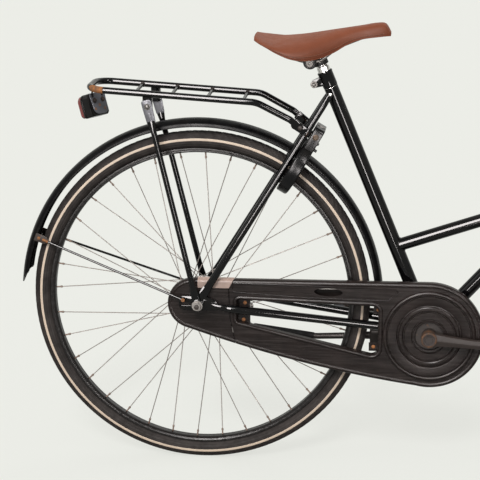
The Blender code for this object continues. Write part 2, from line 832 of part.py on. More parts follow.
black_paint(lug)
clamp_outline = [
    (0, 0.0145), (0.0055, 0.0145), (0.0055, 0.0092), (0.0026, 0.0092),
    (0.0026, -0.0092), (0.0055, -0.0092), (0.0055, -0.0145), (0, -0.0145),
]
chrome(align(turned("seat_clamp_bolt", clamp_outline, 8), bolt_at, SIDE))


# Drive


def toothed(centre, teeth, radius, valley=0.0030):
    """An outline of plain teeth round a chain wheel."""
    outline = []
    step = 360 / teeth
    shape = ((0.0, -valley), (0.5, TOOTH_RISE))
    for tooth in range(teeth):
        for share, rise in shape:
            way = rising((tooth + share) * step) * (radius + rise)
            outline.append((centre.x + way.x, centre.z + way.z))
    return outline


chain_y = -CHAINLINE
ring = plate("chainring", [toothed(BB, RING_TEETH, RING_RADIUS)], RING_THICKNESS, chain_y)
ring_boss = rod("chainring_boss", BB - SIDE * 0.0410, BB - SIDE * 0.0602, 0.0155, 16)
join(ring, ring_boss)
ring_bore = clear(CRANK_AXLE_RADIUS, 16)
cut(ring, rod("chainring_bore", BB - SIDE * 0.1, BB + SIDE * 0.1, ring_bore, 16))
dull_steel(ring)

sprocket_outline = toothed(REAR, SPROCKET_TEETH, SPROCKET_RADIUS)
sprocket = plate("rear_sprocket", [sprocket_outline], RING_THICKNESS, chain_y)
driver = rod("sprocket_driver", REAR - SIDE * 0.0306, REAR - SIDE * 0.0460, 0.0140, 12)
join(sprocket, driver)
cut(sprocket, rod("sprocket_bore", REAR - SIDE * 0.1, REAR + SIDE * 0.1, AXLE_BORE_RADIUS, 12))
dull_steel(sprocket)


def chain_band(name, low, high, width):
    """A flat band along the chain's run, between two distances from its pitch line."""
    outer = belt(REAR, SPROCKET_RADIUS + high, BB, RING_RADIUS + high, 8, 14)
    inner = belt(REAR, SPROCKET_RADIUS + low, BB, RING_RADIUS + low, 8, 14)
    return plate(name, [outer, inner], width, chain_y)


chain = chain_band("chain", -CHAIN_HALF_HEIGHT, CHAIN_HALF_HEIGHT, CHAIN_WIDTH)
cut(chain, chain_band("chain_groove", -0.006, TOOTH_RISE + 0.0009, RING_THICKNESS + 0.0010))
dull_steel(chain)


def crank(name, side):
    """A flat forged arm with a round boss at each end."""
    way = rising(CRANK_DEGREES) * (1 if side == RIGHT else -1)
    eye = BB + way * CRANK_LENGTH
    y = side * (CRANK_INNER + CRANK_THICKNESS / 2)
    first, second = ((eye, 0.0120), (BB, 0.0150)) if way.x < 0 else ((BB, 0.0150), (eye, 0.0120))
    outline = belt(first[0], first[1], second[0], second[1], 6, 6)
    arm = bevel(plate(name, [outline], CRANK_THICKNESS, y), 0.003, 1)
    boss = rod(name + "_boss", BB + SIDE * side * 0.0605, BB + SIDE * side * 0.0805, 0.0160, 14)
    bore = rod(name + "_bore", BB - SIDE * 0.2, BB + SIDE * 0.2, clear(CRANK_AXLE_RADIUS, 16), 16)
    join(arm, boss)
    cut(arm, bore)
    rusty_steel(arm)
    spindle_outline = [
        (0, 0.1220), (0.0045, 0.1220), (0.0045, 0.0180), (0.0085, 0.0160),
        (0.0085, -0.0010), (0, -0.0010),
    ]
    outer = eye + SIDE * side * (CRANK_INNER + CRANK_THICKNESS)
    join(arm, align(turned(name + "_spindle", spindle_outline, 10), outer, SIDE * side))
    pedal(name.split("_")[0] + "_pedal", eye, side, CRANK_INNER + CRANK_THICKNESS + 0.0195)


def pedal(name, eye, side, start):
    """Two rubber blocks between end plates, round a barrel that turns on the spindle."""
    low, high = sorted((side * start, side * (start + PEDAL_LENGTH)))
    barrel = rod(name, eye + SIDE * low, eye + SIDE * high, 0.0095, 12)
    half = PEDAL_WIDTH / 2
    for tag, offset in (("front", 1), ("rear", -1)):
        x = sorted((eye.x + offset * 0.0125, eye.x + offset * half))
        z = PEDAL_HEIGHT / 2
        block = box(f"{name}_{tag}_block", (x[0], low + 0.002, eye.z - z), (x[1], high - 0.002, eye.z + z))
        join(barrel, bevel(block, 0.004, 1))
    for tag, at in (("inner", low), ("outer", high - 0.003)):
        flat = (half - 0.004, 0.009)
        cap = box(
            f"{name}_{tag}_plate",
            (eye.x - flat[0], at, eye.z - flat[1]),
            (eye.x + flat[0], at + 0.003, eye.z + flat[1]),
        )
        join(barrel, cap)
    return black_rubber(cut(barrel, rod(name + "_bore", eye - SIDE * 0.4, eye + SIDE * 0.4, 0.0050, 12)))


crank("right_crank", RIGHT)
crank("left_crank", LEFT)
axle_end = SIDE * 0.0790
rusty_steel(rod("crank_axle", BB - axle_end, BB + axle_end, CRANK_AXLE_RADIUS))


# Chain case


def case_edge(inset):
    """The moulding's outline; inset moves it inwards by a wall."""
    return belt(
        CASE_REAR, CASE_REAR_RADIUS - inset, BB, CASE_FRONT_RADIUS - inset, 9, 18, CASE_SAG
    )


def case_lower_edge(x):
    """Height of the case's lower run above the floor, before its sag."""
    span = BB - CASE_REAR
    slope = math.atan2(span.z, span.x)
    lean = math.asin((CASE_FRONT_RADIUS - CASE_REAR_RADIUS) / span.length)
    angle = slope - lean
    touch = CASE_REAR + Vector((math.sin(angle), 0, -math.cos(angle))) * CASE_REAR_RADIUS
    run = BB.x + CASE_FRONT_RADIUS * math.sin(angle) - touch.x
    share = (x - touch.x) / run
    return touch.z + math.tan(angle) * (x - touch.x) - 4 * CASE_SAG * share * (1 - share)


def case_upper_edge(x):
    share = (x - CASE_REAR.x) / (BB.x - CASE_REAR.x)
    rear_top = CASE_REAR.z + CASE_REAR_RADIUS
    return rear_top + (BB.z + CASE_FRONT_RADIUS - rear_top) * share


def case_window(grow, rear=WINDOW_REAR):
    """The opening round the chainstay, between the chain's two runs."""
    back = REAR_X + rear - grow
    front = BB.x - WINDOW_FRONT + grow
    corners = [
        (back, case_upper_edge(back) - UPPER_ARM_REAR + grow),
        (back, case_lower_edge(back) + LOWER_ARM_REAR - grow),
        (front, case_lower_edge(front) + LOWER_ARM_FRONT - grow),
        (front, case_upper_edge(front) - UPPER_ARM_FRONT + grow),
    ]
    return flat_rounded(corners, [0.005, 0.005, 0.014, 0.012], 3)


def case_block(name):
    """The moulding as a solid block with rounded edges."""
    soft = CASE_EDGE
    levels = []
    for inset, depth in ((soft, 0.0), (soft * 0.62, soft * 0.07), (soft * 0.22, soft * 0.38), (0.0, soft)):
        levels.append((case_edge(inset), -CASE_FACE + depth))
    for inset, depth in ((0.0, CASE_BACK_EDGE), (CASE_BACK_EDGE, 0.0)):
        levels.append((case_edge(inset), -CASE_BACK - depth))
    return loft(name, levels)


def window_block(name, wall, soft, rear=WINDOW_REAR):
    """The window's walls, grown by wall and flared by soft at the moulding's face."""
    past = 0.010
    levels = [
        (case_window(wall + soft, rear), -CASE_FACE - past),
        (case_window(wall + soft, rear), -CASE_FACE),
        (case_window(wall + soft * 0.3, rear), -CASE_FACE + soft * 0.3),
        (case_window(wall, rear), -CASE_FACE + soft),
        (case_window(wall, rear), -CASE_BACK + past),
    ]
    return loft(name, levels)


def case_pocket(name, window_rear, face, way, edge, end):
    """The hollow inside the moulding, which leaves its walls."""
    soft = edge - CASE_WALL
    start = face + way * CASE_WALL
    levels = []
    for inset, depth in ((1.0, 0.0), (0.3, 0.3), (0.0, 1.0)):
        levels.append((case_edge(CASE_WALL + soft * inset), start + way * soft * depth))
    levels.append((case_edge(CASE_WALL), end))
    pocket = loft(name, levels)
    if window_rear:
        cut(pocket, window_block(name + "_window", CASE_WALL, WINDOW_LIP, window_rear))
    return pocket


def behind_seam(name, ahead):
    """Everything behind the seam, which is moved ahead by a little."""
    line = [(REAR_X + x + ahead, z) for x, z in CASE_SEAM]
    behind = REAR_X - 0.2
    outline = [(behind, 1.0), (line[0][0], 1.0)] + line + [(line[-1][0], 0.0), (behind, 0.0)]
    return plate(name, [outline], 0.4, 0)


far = 1.0
inner_window = WINDOW_REAR + 0.026
shaft = rod("case_shaft_hole", BB - SIDE * far, BB + SIDE * far, CASE_SHAFT_HOLE, 24)
bb_hole = rod("case_shell_hole", BB - SIDE * far, BB + SIDE * far, BB_SHELL_RADIUS + 0.003, 24)

outer = case_block("chain_case_outer")
panel_outline = flat_rounded(
    [(REAR_X + x, z) for x, z in CASE_PANEL], [0.003, 0.003, 0.030, 0.004, 0.004, 0.006], 1
)
relief_outline = [
    (0.0270, 0.0008), (0.0545, 0.0008), (0.0590, 0.0042), (0.0868, 0.0042),
    (0.0930, -0.0004), (0.0930, -0.0010), (0.0270, -0.0010),
]
relief = turned("case_disc_relief", relief_outline, 24, closed=True)
face_wheel(relief, BB - SIDE * CASE_FACE)
cut(
    outer,
    box("outer_back_half", (-far, -CASE_SPLIT, -far), (far, far, far)),
    behind_seam("outer_seam", 0.0),
    case_pocket("outer_pocket", WINDOW_REAR, -CASE_FACE, 1, CASE_EDGE, -0.020),
    window_block("outer_window", 0.0, WINDOW_LIP),
    plate("case_panel", [panel_outline], CASE_PANEL_DEPTH * 2, -CASE_FACE),
)
join(outer, relief)
cut(outer, shaft)
case_plastic(outer)

inner = case_block("chain_case_inner")
stay_slot = flat_rounded(
    [
        (BB.x - WINDOW_FRONT - 0.02, BB.z + 0.001),
        (BB.x - WINDOW_FRONT - 0.02, BB.z + 0.027),
        (BB.x, BB.z + 0.015),
        (BB.x, BB.z - 0.013),
    ],
    [0.002] * 4,
    2,
)
cut(
    inner,
    box("inner_face_half", (-far, -far, -far), (far, -CASE_SPLIT + GAP, far)),
    behind_seam("inner_seam", 0.0),
    case_pocket("inner_pocket", inner_window, -CASE_BACK, -1, CASE_BACK_EDGE, -0.060),
    window_block("inner_window", 0.0, WINDOW_LIP, inner_window),
    bb_hole,
    plate("stay_slot", [stay_slot], 0.04, -CASE_BACK),
)
case_plastic(inner)

cover = case_block("chain_case_rear_cover")
axle_hole = rod("cover_axle_hole", REAR - SIDE * far, REAR + SIDE * far, 0.0090, 16)
hub_hole = rod("cover_hub_hole", REAR - SIDE * 0.040, REAR + SIDE * far, 0.0260, 20)
boolean(cover, behind_seam("cover_region", -GAP * 2), "INTERSECT")
cut(
    cover,
    case_pocket("cover_pocket", None, -CASE_FACE, 1, CASE_EDGE, -(CASE_BACK + CASE_WALL)),
    axle_hole,
    hub_hole,
)
case_plastic(cover)


# Fork, headset, stem and handlebar


def steering(height, ahead=0.0, y=0.0):
    """A point up the steering axis from the axle's foot, moved ahead and to a side."""
    return STEER_FOOT + HEAD_DIR * height + HEAD_AHEAD * ahead + SIDE * y


def blade(name, side):
    curve_from = 0.28
    path = []
    radii = []
    count = 6
    for index in range(count + 1):
        along = index / count
        height = (AXLE_TO_CROWN - 0.010) * (1 - along)
        share = max(0.0, 1 - height / curve_from)
        spread = BLADE_HALF_SPAN + (FORK_END_HALF_SPAN - BLADE_HALF_SPAN) * along
        path.append(steering(height, FORK_RAKE * share**2, side * spread))
        radii.append(1.0 - 0.42 * along)
    path[-1] = steering(0.010, FORK_RAKE * (1 - 0.010 / curve_from) ** 2, side * FORK_END_HALF_SPAN)
    return as_mesh(tube(name, path, 0.0115, 8, radii))


steerer_length = HEADSET_STACK * 2 + HEAD_TUBE_LENGTH + 0.012
fork_outline = [
    (0, steerer_length), (STEERER_RADIUS, steerer_length), (STEERER_RADIUS, 0.0015),
    (0.0165, 0.0), (0.0165, -0.020), (0, -0.020),
]
fork = align(turned("fork", fork_outline, 14), CROWN_RACE, HEAD_DIR)
crown = as_mesh(
    tube(
        "fork_crown",
        [steering(AXLE_TO_CROWN - 0.010, 0, y) for y in (-0.0530, -0.0500, 0, 0.0500, 0.0530)],
        0.0125,
        8,
        [0.7, 1.0, 1.0, 1.0, 0.7],
    )
)
bore_from, bore_to = steering(AXLE_TO_CROWN - 0.05), steering(AXLE_TO_CROWN + steerer_length + 0.05)
crown_bore = rod("crown_bore", bore_from, bore_to, STEERER_BORE, 16)
join(fork, crown)
for side, hand in ((RIGHT, "right"), (LEFT, "left")):
    join(fork, blade(hand + "_blade", side))
    end_outline = arc(FRONT, 0.0120, 0, 324, 9)
    join(fork, plate(hand + "_fork_end", [end_outline], 0.0045, side * FORK_END_HALF_SPAN))
cut(
    fork,
    rod("fork_axle_hole", FRONT - SIDE * 0.2, FRONT + SIDE * 0.2, AXLE_BORE_RADIUS, 12),
    crown_bore,
)
black_paint(fork)

cup_shape = [
    (HEAD_TUBE_RADIUS + 0.0015, HEADSET_STACK - GAP),
    (HEAD_TUBE_RADIUS + 0.0015, 0.006),
    (HEAD_TUBE_RADIUS - 0.001, 0.0034),
    (clear(STEERER_RADIUS, 16), 0.0034),
    (clear(STEERER_RADIUS, 16), HEADSET_STACK - GAP),
]
chrome(align(turned("lower_headset_cup", cup_shape, 16, closed=True), CROWN_RACE, HEAD_DIR))
top_shape = [
    (STEERER_RADIUS + 0.004, HEADSET_STACK + 0.016),
    (STEERER_RADIUS + 0.004, HEADSET_STACK + 0.004),
    (HEAD_TUBE_RADIUS + 0.0015, HEADSET_STACK),
    (HEAD_TUBE_RADIUS + 0.0015, GAP),
    (clear(STEERER_RADIUS, 16), GAP),
    (clear(STEERER_RADIUS, 16), HEADSET_STACK + 0.016),
]
chrome(align(turned("upper_headset_cup", top_shape, 16, closed=True), HEAD_TOP, HEAD_DIR))

quill_base = HEAD_TOP + HEAD_DIR * (HEADSET_STACK + 0.017)
quill_top = quill_base + HEAD_DIR * STEM_EXPOSED
clamp_at = quill_top + rising(8) * STEM_REACH
stem_path = rounded(
    [quill_base - HEAD_DIR * QUILL_DEPTH, quill_top, clamp_at], [0.016], 22
)
stem = as_mesh(tube("stem", stem_path, QUILL_RADIUS, 10))
clamp_half = SIDE * 0.019
join(stem, rod("stem_clamp", clamp_at - clamp_half, clamp_at + clamp_half, 0.0175, 12))
bar_bore = rod("stem_bore", clamp_at - SIDE * 0.1, clamp_at + SIDE * 0.1, clear(BAR_RADIUS, 12), 12)
cut(stem, bar_bore)
chrome(stem)

half_bar = [
    (0.0, 0.0, 0.0),
    (0.0, 0.055, 0.0),
    (0.030, BAR_HALF_WIDTH - 0.135, 0.030),
    (-0.020, BAR_HALF_WIDTH - 0.023, 0.052),
    (-0.130, BAR_HALF_WIDTH, 0.046),
    (-0.262, BAR_HALF_WIDTH, 0.030),
]
left_bar = [clamp_at + Vector(point) for point in half_bar]
right_bar = [Vector((point.x, -point.y, point.z)) for point in reversed(left_bar)]
bar_radii = [0.05, 0.04, 0.055, 0.055]
bar_path = rounded(right_bar[:-1] + left_bar[1:], bar_radii[::-1] + bar_radii, 27)
chrome(tube("handlebar", bar_path, BAR_RADIUS, 8))


def grip(name, side):
    end = clamp_at + Vector((half_bar[-1][0], side * half_bar[-1][1], half_bar[-1][2]))
    bend = clamp_at + Vector((half_bar[-2][0], side * half_bar[-2][1], half_bar[-2][2]))
    way = (end - bend).normalized()
    outline = [
        (0, GRIP_LENGTH + 0.0035),
        (GRIP_RADIUS * 0.85, GRIP_LENGTH + 0.0035),
        (GRIP_RADIUS * 1.08, GRIP_LENGTH - 0.002),
        (GRIP_RADIUS, GRIP_LENGTH - 0.012),
        (GRIP_RADIUS, 0.010),
        (GRIP_RADIUS * 1.05, 0.0),
        (clear(BAR_RADIUS, 12), 0.0),
        (clear(BAR_RADIUS, 12), GRIP_LENGTH + GAP),
        (0, GRIP_LENGTH + GAP),
    ]
    return black_rubber(align(turned(name, outline, 12), end - way * GRIP_LENGTH, way))


grip("right_grip", RIGHT)
grip("left_grip", LEFT)


# Seat post and saddle

post_foot = SEAT_TOP - SEAT_DIR * POST_INSERTED
post_length = POST_INSERTED + POST_TOP
post_outline = [
    (0, post_length),
    (POST_NECK_RADIUS, post_length),
    (POST_NECK_RADIUS, POST_INSERTED + 0.012),
    (POST_RADIUS, POST_INSERTED + 0.008),
    (POST_RADIUS, 0),
    (0, 0),
]
chrome(align(turned("seat_post", post_outline, 20), post_foot, SEAT_DIR))

clamp_low = SEAT_TOP + SEAT_DIR * 0.0135
clamp_high = SEAT_TOP + SEAT_DIR * 0.0285
rail_clamp_at = from_axle(0.221, 0, 0.8425)
collar_bore = POST_NECK_RADIUS + GAP
saddle_clamp = sleeve("saddle_clamp", clamp_low, clamp_high, POST_NECK_RADIUS + 0.0035, collar_bore, 16)
clamp_arm = rod("clamp_arm", rail_clamp_at - SIDE * 0.029, rail_clamp_at + SIDE * 0.029, 0.0125, 10)
clamp_bore = rod("clamp_bore", clamp_low - SEAT_DIR, clamp_high + SEAT_DIR, collar_bore, 16)
clamp_bolt = rod("clamp_bolt", rail_clamp_at - SIDE * 0.036, rail_clamp_at + SIDE * 0.036, 0.0062, 8)
join(saddle_clamp, clamp_arm, clamp_bolt)
cut(saddle_clamp, clamp_bore)


SADDLE_STATIONS = (
    # behind the nose: share, half width, crown, skirt's lower edge
    (0.000, 0.040, 0.8935, 0.8885),
    (0.045, 0.062, 0.8895, 0.8845),
    (0.110, 0.086, 0.8870, 0.8780),
    (0.190, 0.099, 0.8863, 0.8680),
    (0.290, 0.102, 0.8885, 0.8570),
    (0.390, 0.095, 0.8930, 0.8525),
    (0.490, 0.077, 0.8987, 0.8548),
    (0.590, 0.055, 0.9043, 0.8640),
    (0.690, 0.038, 0.9097, 0.8790),
    (0.790, 0.030, 0.9148, 0.8885),
    (0.900, 0.027, 0.9200, 0.8926),
    (0.965, 0.022, 0.9185, 0.8943),
    (1.000, 0.014, 0.9030, 0.8955),
)


def saddle_section(share):
    """Half width, crown height and lower edge height at a share of the length from the rear."""
    last = len(SADDLE_STATIONS) - 1
    at = 0
    while at < last - 1 and share > SADDLE_STATIONS[at + 1][0]:
        at += 1
    four = [SADDLE_STATIONS[min(max(at + step, 0), last)] for step in (-1, 0, 1, 2)]
    span = four[2][0] - four[1][0]
    t = (share - four[1][0]) / span
    found = []
    for index in (1, 2, 3):
        values = [station[index] for station in four]
        leave = (values[2] - values[0]) / max(four[2][0] - four[0][0], 1e-6) * span
        reach = (values[3] - values[1]) / max(four[3][0] - four[1][0], 1e-6) * span
        found.append(
            (2 * t**3 - 3 * t**2 + 1) * values[1] + (t**3 - 2 * t**2 + t) * leave
            + (3 * t**2 - 2 * t**3) * values[2] + (t**3 - t**2) * reach
        )
    return found


def saddle_hollow(share):
    """Height of the cushion's underside between its skirts."""
    half, top, low = saddle_section(share)
    return min(low + SADDLE_HOLLOW, top - min(SADDLE_PAD, (top - low) * 0.6))


def saddle_loft(name):
    """The cushion through the saddle's sections, hollow underneath."""
    rings = []
    count = 24
    across = 16
    for index in range(count + 1):
        share = 0.5 - 0.5 * math.cos(math.pi * index / count)
        half, top, low = saddle_section(share)
        x = REAR_X + SADDLE_REAR + SADDLE_LENGTH * share
        ring = []
        for step in range(across):
            angle = math.pi * step / (across - 1)
            y = half * math.copysign(abs(math.cos(angle)) ** 0.72, math.cos(angle))
            ring.append((x, y, low + (top - low) * math.sin(angle) ** 0.62))
        under = saddle_hollow(share)
        for y in (-0.86 * half, -0.6 * half, 0.6 * half, 0.86 * half):
            drop = 0.008 if abs(y) > 0.7 * half else 0.0
            ring.append((x, y, max(under - drop, low + 0.001)))
        rings.append(ring)
    return skin(name, rings)


saddle_cover = smooth(saddle_loft("saddle_cover"), 60)
paint(saddle_cover, (0.30, 0.112, 0.067), 0.5)


def saddle_underside(name, drop, thickness, shrink):
    """The hard base that follows the cover's underside, a little below it."""
    rings = []
    count = 12
    for index in range(count + 1):
        share = 0.12 + 0.82 * index / count
        half = 0.6 * saddle_section(share)[0] - shrink
        level = saddle_hollow(share) - drop
        x = REAR_X + SADDLE_REAR + SADDLE_LENGTH * share
        top = [(x, y, level) for y in (-half, 0, half)]
        bottom = [(x, y, level - thickness) for y in (half, 0, -half)]
        rings.append(top + bottom)
    return skin(name, rings)


base = saddle_underside("saddle_base", 0.0014, 0.0030, 0.0015)
paint(base, (0.02, 0.02, 0.02), 0.5)

rail_radius = 0.0035
rail_half = [
    from_axle(0.145, 0.036, 0.8700),
    from_axle(0.168, 0.025, 0.8425),
    from_axle(0.256, 0.022, 0.8425),
    from_axle(0.346, 0.008, 0.8930),
]
rail_other = [Vector((point.x, -point.y, point.z)) for point in rail_half]
rail_path = rounded(rail_half + list(reversed(rail_other)), [0.03, 0.03, 0.006, 0.006, 0.03, 0.03], 30)
rails = tube("saddle_rails", rail_path, rail_radius, 6)
dull_steel(rails)
rail_gap = as_mesh(tube("rail_gap", rail_path, rail_radius + GAP * 2, 6))
cut(saddle_clamp, rail_gap)
paint(saddle_clamp, (0.02, 0.02, 0.02), 0.35)


# Carrier


def rack_rail(side):
    return [
        from_axle(RACK_REAR, side * RACK_HALF_WIDTH, RACK_REAR_HEIGHT),
        from_axle(RACK_BEND, side * RACK_HALF_WIDTH, RACK_BEND_HEIGHT),
        from_axle(RACK_FOOT - 0.020, side * (RACK_FOOT_Y + 0.0040), RACK_FOOT_HEIGHT + 0.017),
        from_axle(RACK_FOOT, side * RACK_FOOT_Y, RACK_FOOT_HEIGHT),
    ]


def rack_height(x):
    share = (x - RACK_REAR) / (RACK_BEND - RACK_REAR)
    return RACK_REAR_HEIGHT + (RACK_BEND_HEIGHT - RACK_REAR_HEIGHT) * share


rail_right, rail_left = rack_rail(RIGHT), rack_rail(LEFT)
rack_path = rounded(
    list(reversed(rail_right)) + rail_left,
    [0.02, 0.05, 0.035, 0.035, 0.05, 0.02],
    26,
)
count = len(rack_path)
rack_radii = [0.25, 0.7, 0.85, 1.0] + [1.0] * (count - 8) + [1.0, 0.85, 0.7, 0.25]
rack = as_mesh(tube("rack", rack_path, RACK_TUBE_RADIUS, 8, rack_radii))
for index in range(4):
    x = RACK_RUNG_FIRST + RACK_RUNG_PITCH * index
    middle = from_axle(x, 0, rack_height(x) - 0.001)
    end = SIDE * RACK_HALF_WIDTH
    join(rack, rod(f"rack_rung_{index}", middle - end, middle + end, RACK_RUNG_RADIUS, 6))
for side, hand in ((RIGHT, "right"), (LEFT, "left")):
    foot = from_axle(RACK_FOOT, side * RACK_FOOT_Y, RACK_FOOT_HEIGHT)
    tab = box(f"{hand}_rack_tab", (-0.014, -0.0016, -0.009), (0.014, 0.0016, 0.009))
    tab.matrix_world = Matrix.Translation(foot) @ Matrix.Rotation(math.radians(38), 4, "Y")
    bolt = rod(f"{hand}_rack_bolt", foot, foot + SIDE * side * 0.0056, 0.0052, 8)
    join(rack, tab, bolt)
    hanger_x = REAR_X + RACK_STAY_TOP
    hanger_top = rack_height(RACK_STAY_TOP)
    hanger_low = hanger_top - RACK_STAY_DROP - 0.010
    outline = [
        (hanger_x - 0.010, hanger_top),
        (hanger_x + 0.010, hanger_top),
        (hanger_x + 0.010, hanger_low),
        (hanger_x - 0.010, hanger_low),
    ]
    shape = flat_rounded(outline, [0.001, 0.001, 0.007, 0.007], 2)
    join(rack, plate(f"{hand}_rack_hanger", [shape], 0.003, side * RACK_HALF_WIDTH))
black_paint(rack)


def rack_stay(name, side):
    """A tube from the axle to the carrier, pressed flat at both ends."""
    y_top = side * (RACK_HALF_WIDTH + 0.0045)
    y_foot = side * 0.0682
    top = from_axle(RACK_STAY_TOP, y_top, rack_height(RACK_STAY_TOP) - RACK_STAY_DROP)
    foot = REAR + SIDE * y_foot
    way = (top - foot).normalized()
    path = [foot + way * 0.012, foot + way * 0.040, top - way * 0.045, top - way * 0.012]
    stay = as_mesh(tube(name, path, RACK_STAY_RADIUS, 8, [0.3, 1.0, 1.0, 0.36]))
    flat = rod(name + "_eye", foot - SIDE * 0.0018, foot + SIDE * 0.0018, 0.0125, 10)
    reach = way * 0.030
    across = Vector((-way.z, 0, way.x)) * 0.0085
    neck = [foot - across, foot + across, foot + across * 0.7 + reach, foot - across * 0.7 + reach]
    low_neck = plate(name + "_neck", [[(point.x, point.z) for point in neck]], 0.0036, y_foot)
    wide = Vector((-way.z, 0, way.x)) * 0.0102
    tip = [
        top - wide * 0.55 - way * 0.034,
        top + wide * 0.55 - way * 0.034,
        top + wide - way * 0.004,
        top + wide + way * 0.0135,
        top - wide + way * 0.0135,
        top - wide - way * 0.004,
    ]
    tip_shape = flat_rounded([(p.x, p.z) for p in tip], [0.003, 0.003, 0.006, 0.005, 0.005, 0.006], 2)
    head = plate(name + "_head", [tip_shape], 0.0036, y_top)
    bolt = rod(name + "_bolt", top, top + SIDE * side * 0.0058, 0.0050, 8)
    join(stay, low_neck, flat, head, bolt)
    hole = rod(name + "_axle_hole", REAR - SIDE * 0.1, REAR + SIDE * 0.1, AXLE_BORE_RADIUS, 10)
    return black_paint(cut(stay, hole))


rack_stay("right_rack_stay", RIGHT)
rack_stay("left_rack_stay", LEFT)


def stay_point(height, side):
    """A point on a seat stay's centre line at a height above the floor."""
    foot = REAR + Vector((0.001, side * SEAT_STAY_FOOT_Y, 0.004))
    top = BB + SEAT_DIR * SEAT_STAY_TOP + Vector((-0.006, side * SEAT_STAY_TOP_Y, 0))
    return foot + (top - foot) * (height - foot.z) / (top.z - foot.z)


def rack_bracket(name, side):
    """A collar round the seat stay, with the ear that the carrier bolts to."""
    at = stay_point(0.7040, side)
    way = (stay_point(0.8, side) - stay_point(0.6, side)).normalized()
    collar = rod(name, at - way * 0.008, at + way * 0.008, STAY_RADIUS + 0.0030, 12)
    ear = box(name + "_ear", (-0.030, -0.0012, -0.0075), (-0.0020, 0.0012, 0.0075))
    outward = side * (STAY_RADIUS + 0.0016)
    across = SIDE.cross(way).normalized()
    turn = Matrix((across, way.cross(across), way)).transposed().to_4x4()
    ear.matrix_world = Matrix.Translation(at + SIDE * outward) @ turn
    bore = rod(name + "_bore", at - way * 0.03, at + way * 0.03, clear(STAY_RADIUS, 12), 12)
    return black_paint(cut(join(collar, ear), bore))


rack_bracket("right_rack_bracket", RIGHT)
rack_bracket("left_rack_bracket", LEFT)


# Tail lamp

lamp_turn = Matrix.Rotation(math.radians(LAMP_YAW), 4, "Z") @ Matrix.Rotation(
    math.radians(LAMP_TILT), 4, "Y"
)
lamp_frame = Matrix.Translation(from_axle(-0.2129, 0, 0.7428)) @ lamp_turn


def lamp_piece(name, depth, margin, width, segments=2):
    """A rounded block of the lamp between two depths, a margin inside its outline."""
    half, tall = LAMP_HALF_WIDTH - margin, LAMP_HALF_HEIGHT - margin
    obj = box(name, (depth[0], -half, -tall), (depth[1], half, tall))
    obj.matrix_world = lamp_frame
    return bevel(obj, width, segments)


lamp_body = lamp_piece("tail_lamp_body", (-0.0100, 0.0120), 0.0, 0.006)
paint(lamp_body, (0.02, 0.02, 0.02), 0.35)
lens = lamp_piece("tail_lamp_lens", (-0.0185, -0.0103), 0.0012, 0.0035)
paint(lens, (0.35, 0.02, 0.02), 0.15)
back = lamp_piece("tail_lamp_bracket", (0.0123, 0.0148), 0.0035, 0.0008, 1)
for side, hand in ((RIGHT, "right"), (LEFT, "left")):
    root = lamp_frame @ Vector((0.0154, side * 0.014, LAMP_HALF_HEIGHT - 0.009))
    bend = lamp_frame @ Vector((0.0158, side * 0.014, LAMP_HALF_HEIGHT + 0.0035))
    tip = Vector((REAR_X + RACK_REAR + 0.005, bend.y, RACK_REAR_HEIGHT - RACK_TUBE_RADIUS - 0.0036))
    join(back, as_mesh(tube(f"{hand}_lamp_ear", [root, bend, tip], 0.0030, 6)))
dull_steel(back)


# Ring lock

lock_ahead = Vector((0.8641, 0, -0.5033))
lock_up = Vector((0.5033, 0, 0.8641))
lock_centre = from_axle(0.1925, 0, 0.6255) + lock_ahead * 0.0035
lock_turn = Matrix((SIDE, lock_up, lock_ahead.copy())).transposed().to_4x4()
lock_frame = Matrix.Translation(lock_centre) @ lock_turn


def lock_arc(start, end, radius, count):
    """Points round the lock's ring, 0 at its left flank and 90 at its top."""
    found = []
    for index in range(count + 1):
        angle = math.radians(start + (end - start) * index / count)
        found.append(lock_frame @ Vector((radius * math.cos(angle), radius * math.sin(angle), 0)))
    return found


low_end = -90 + LOCK_HALF_GAP
lock_rings = []
for index in range(15):
    share = math.sin(math.pi * index / 14) ** 0.5
    angle = math.radians(low_end + (180 - 2 * low_end) * index / 14)
    half, front, soft = 0.0078 + 0.0020 * share, 0.0070 + (LOCK_FRONT - 0.0070) * share, 0.0032
    section = [
        (-half + soft, -LOCK_BACK), (half - soft, -LOCK_BACK), (half, soft - LOCK_BACK), (half, front - soft),
        (half - soft, front), (-half + soft, front), (-half, front - soft), (-half, soft - LOCK_BACK),
    ]
    way = Vector((math.cos(angle), math.sin(angle), 0))
    lock_rings.append(
        [lock_frame @ (way * (LOCK_RADIUS + out) + Vector((0, 0, deep))) for out, deep in section]
    )
lock = skin("ring_lock_body", lock_rings)
housing = box("lock_housing", (-0.036, 0.0445, -0.0110), (0.036, 0.098, LOCK_FRONT))
housing.matrix_world = lock_frame
channel_path = lock_arc(low_end - 8, 100, LOCK_RADIUS, 10)
channel = as_mesh(tube("lock_channel", channel_path, SHACKLE_RADIUS + 0.0009, 6))
socket_path = lock_arc(168 - low_end, 188 - low_end, LOCK_RADIUS, 2)
socket = as_mesh(tube("lock_socket", socket_path, SHACKLE_RADIUS + 0.0009, 6))
slot = as_mesh(tube("lock_slot", lock_arc(-30, 47, LOCK_RADIUS + 0.007, 6), 0.0046, 6))
join(lock, bevel(housing, 0.005, 1))
cut(lock, channel, socket, slot)
black_paint(lock)

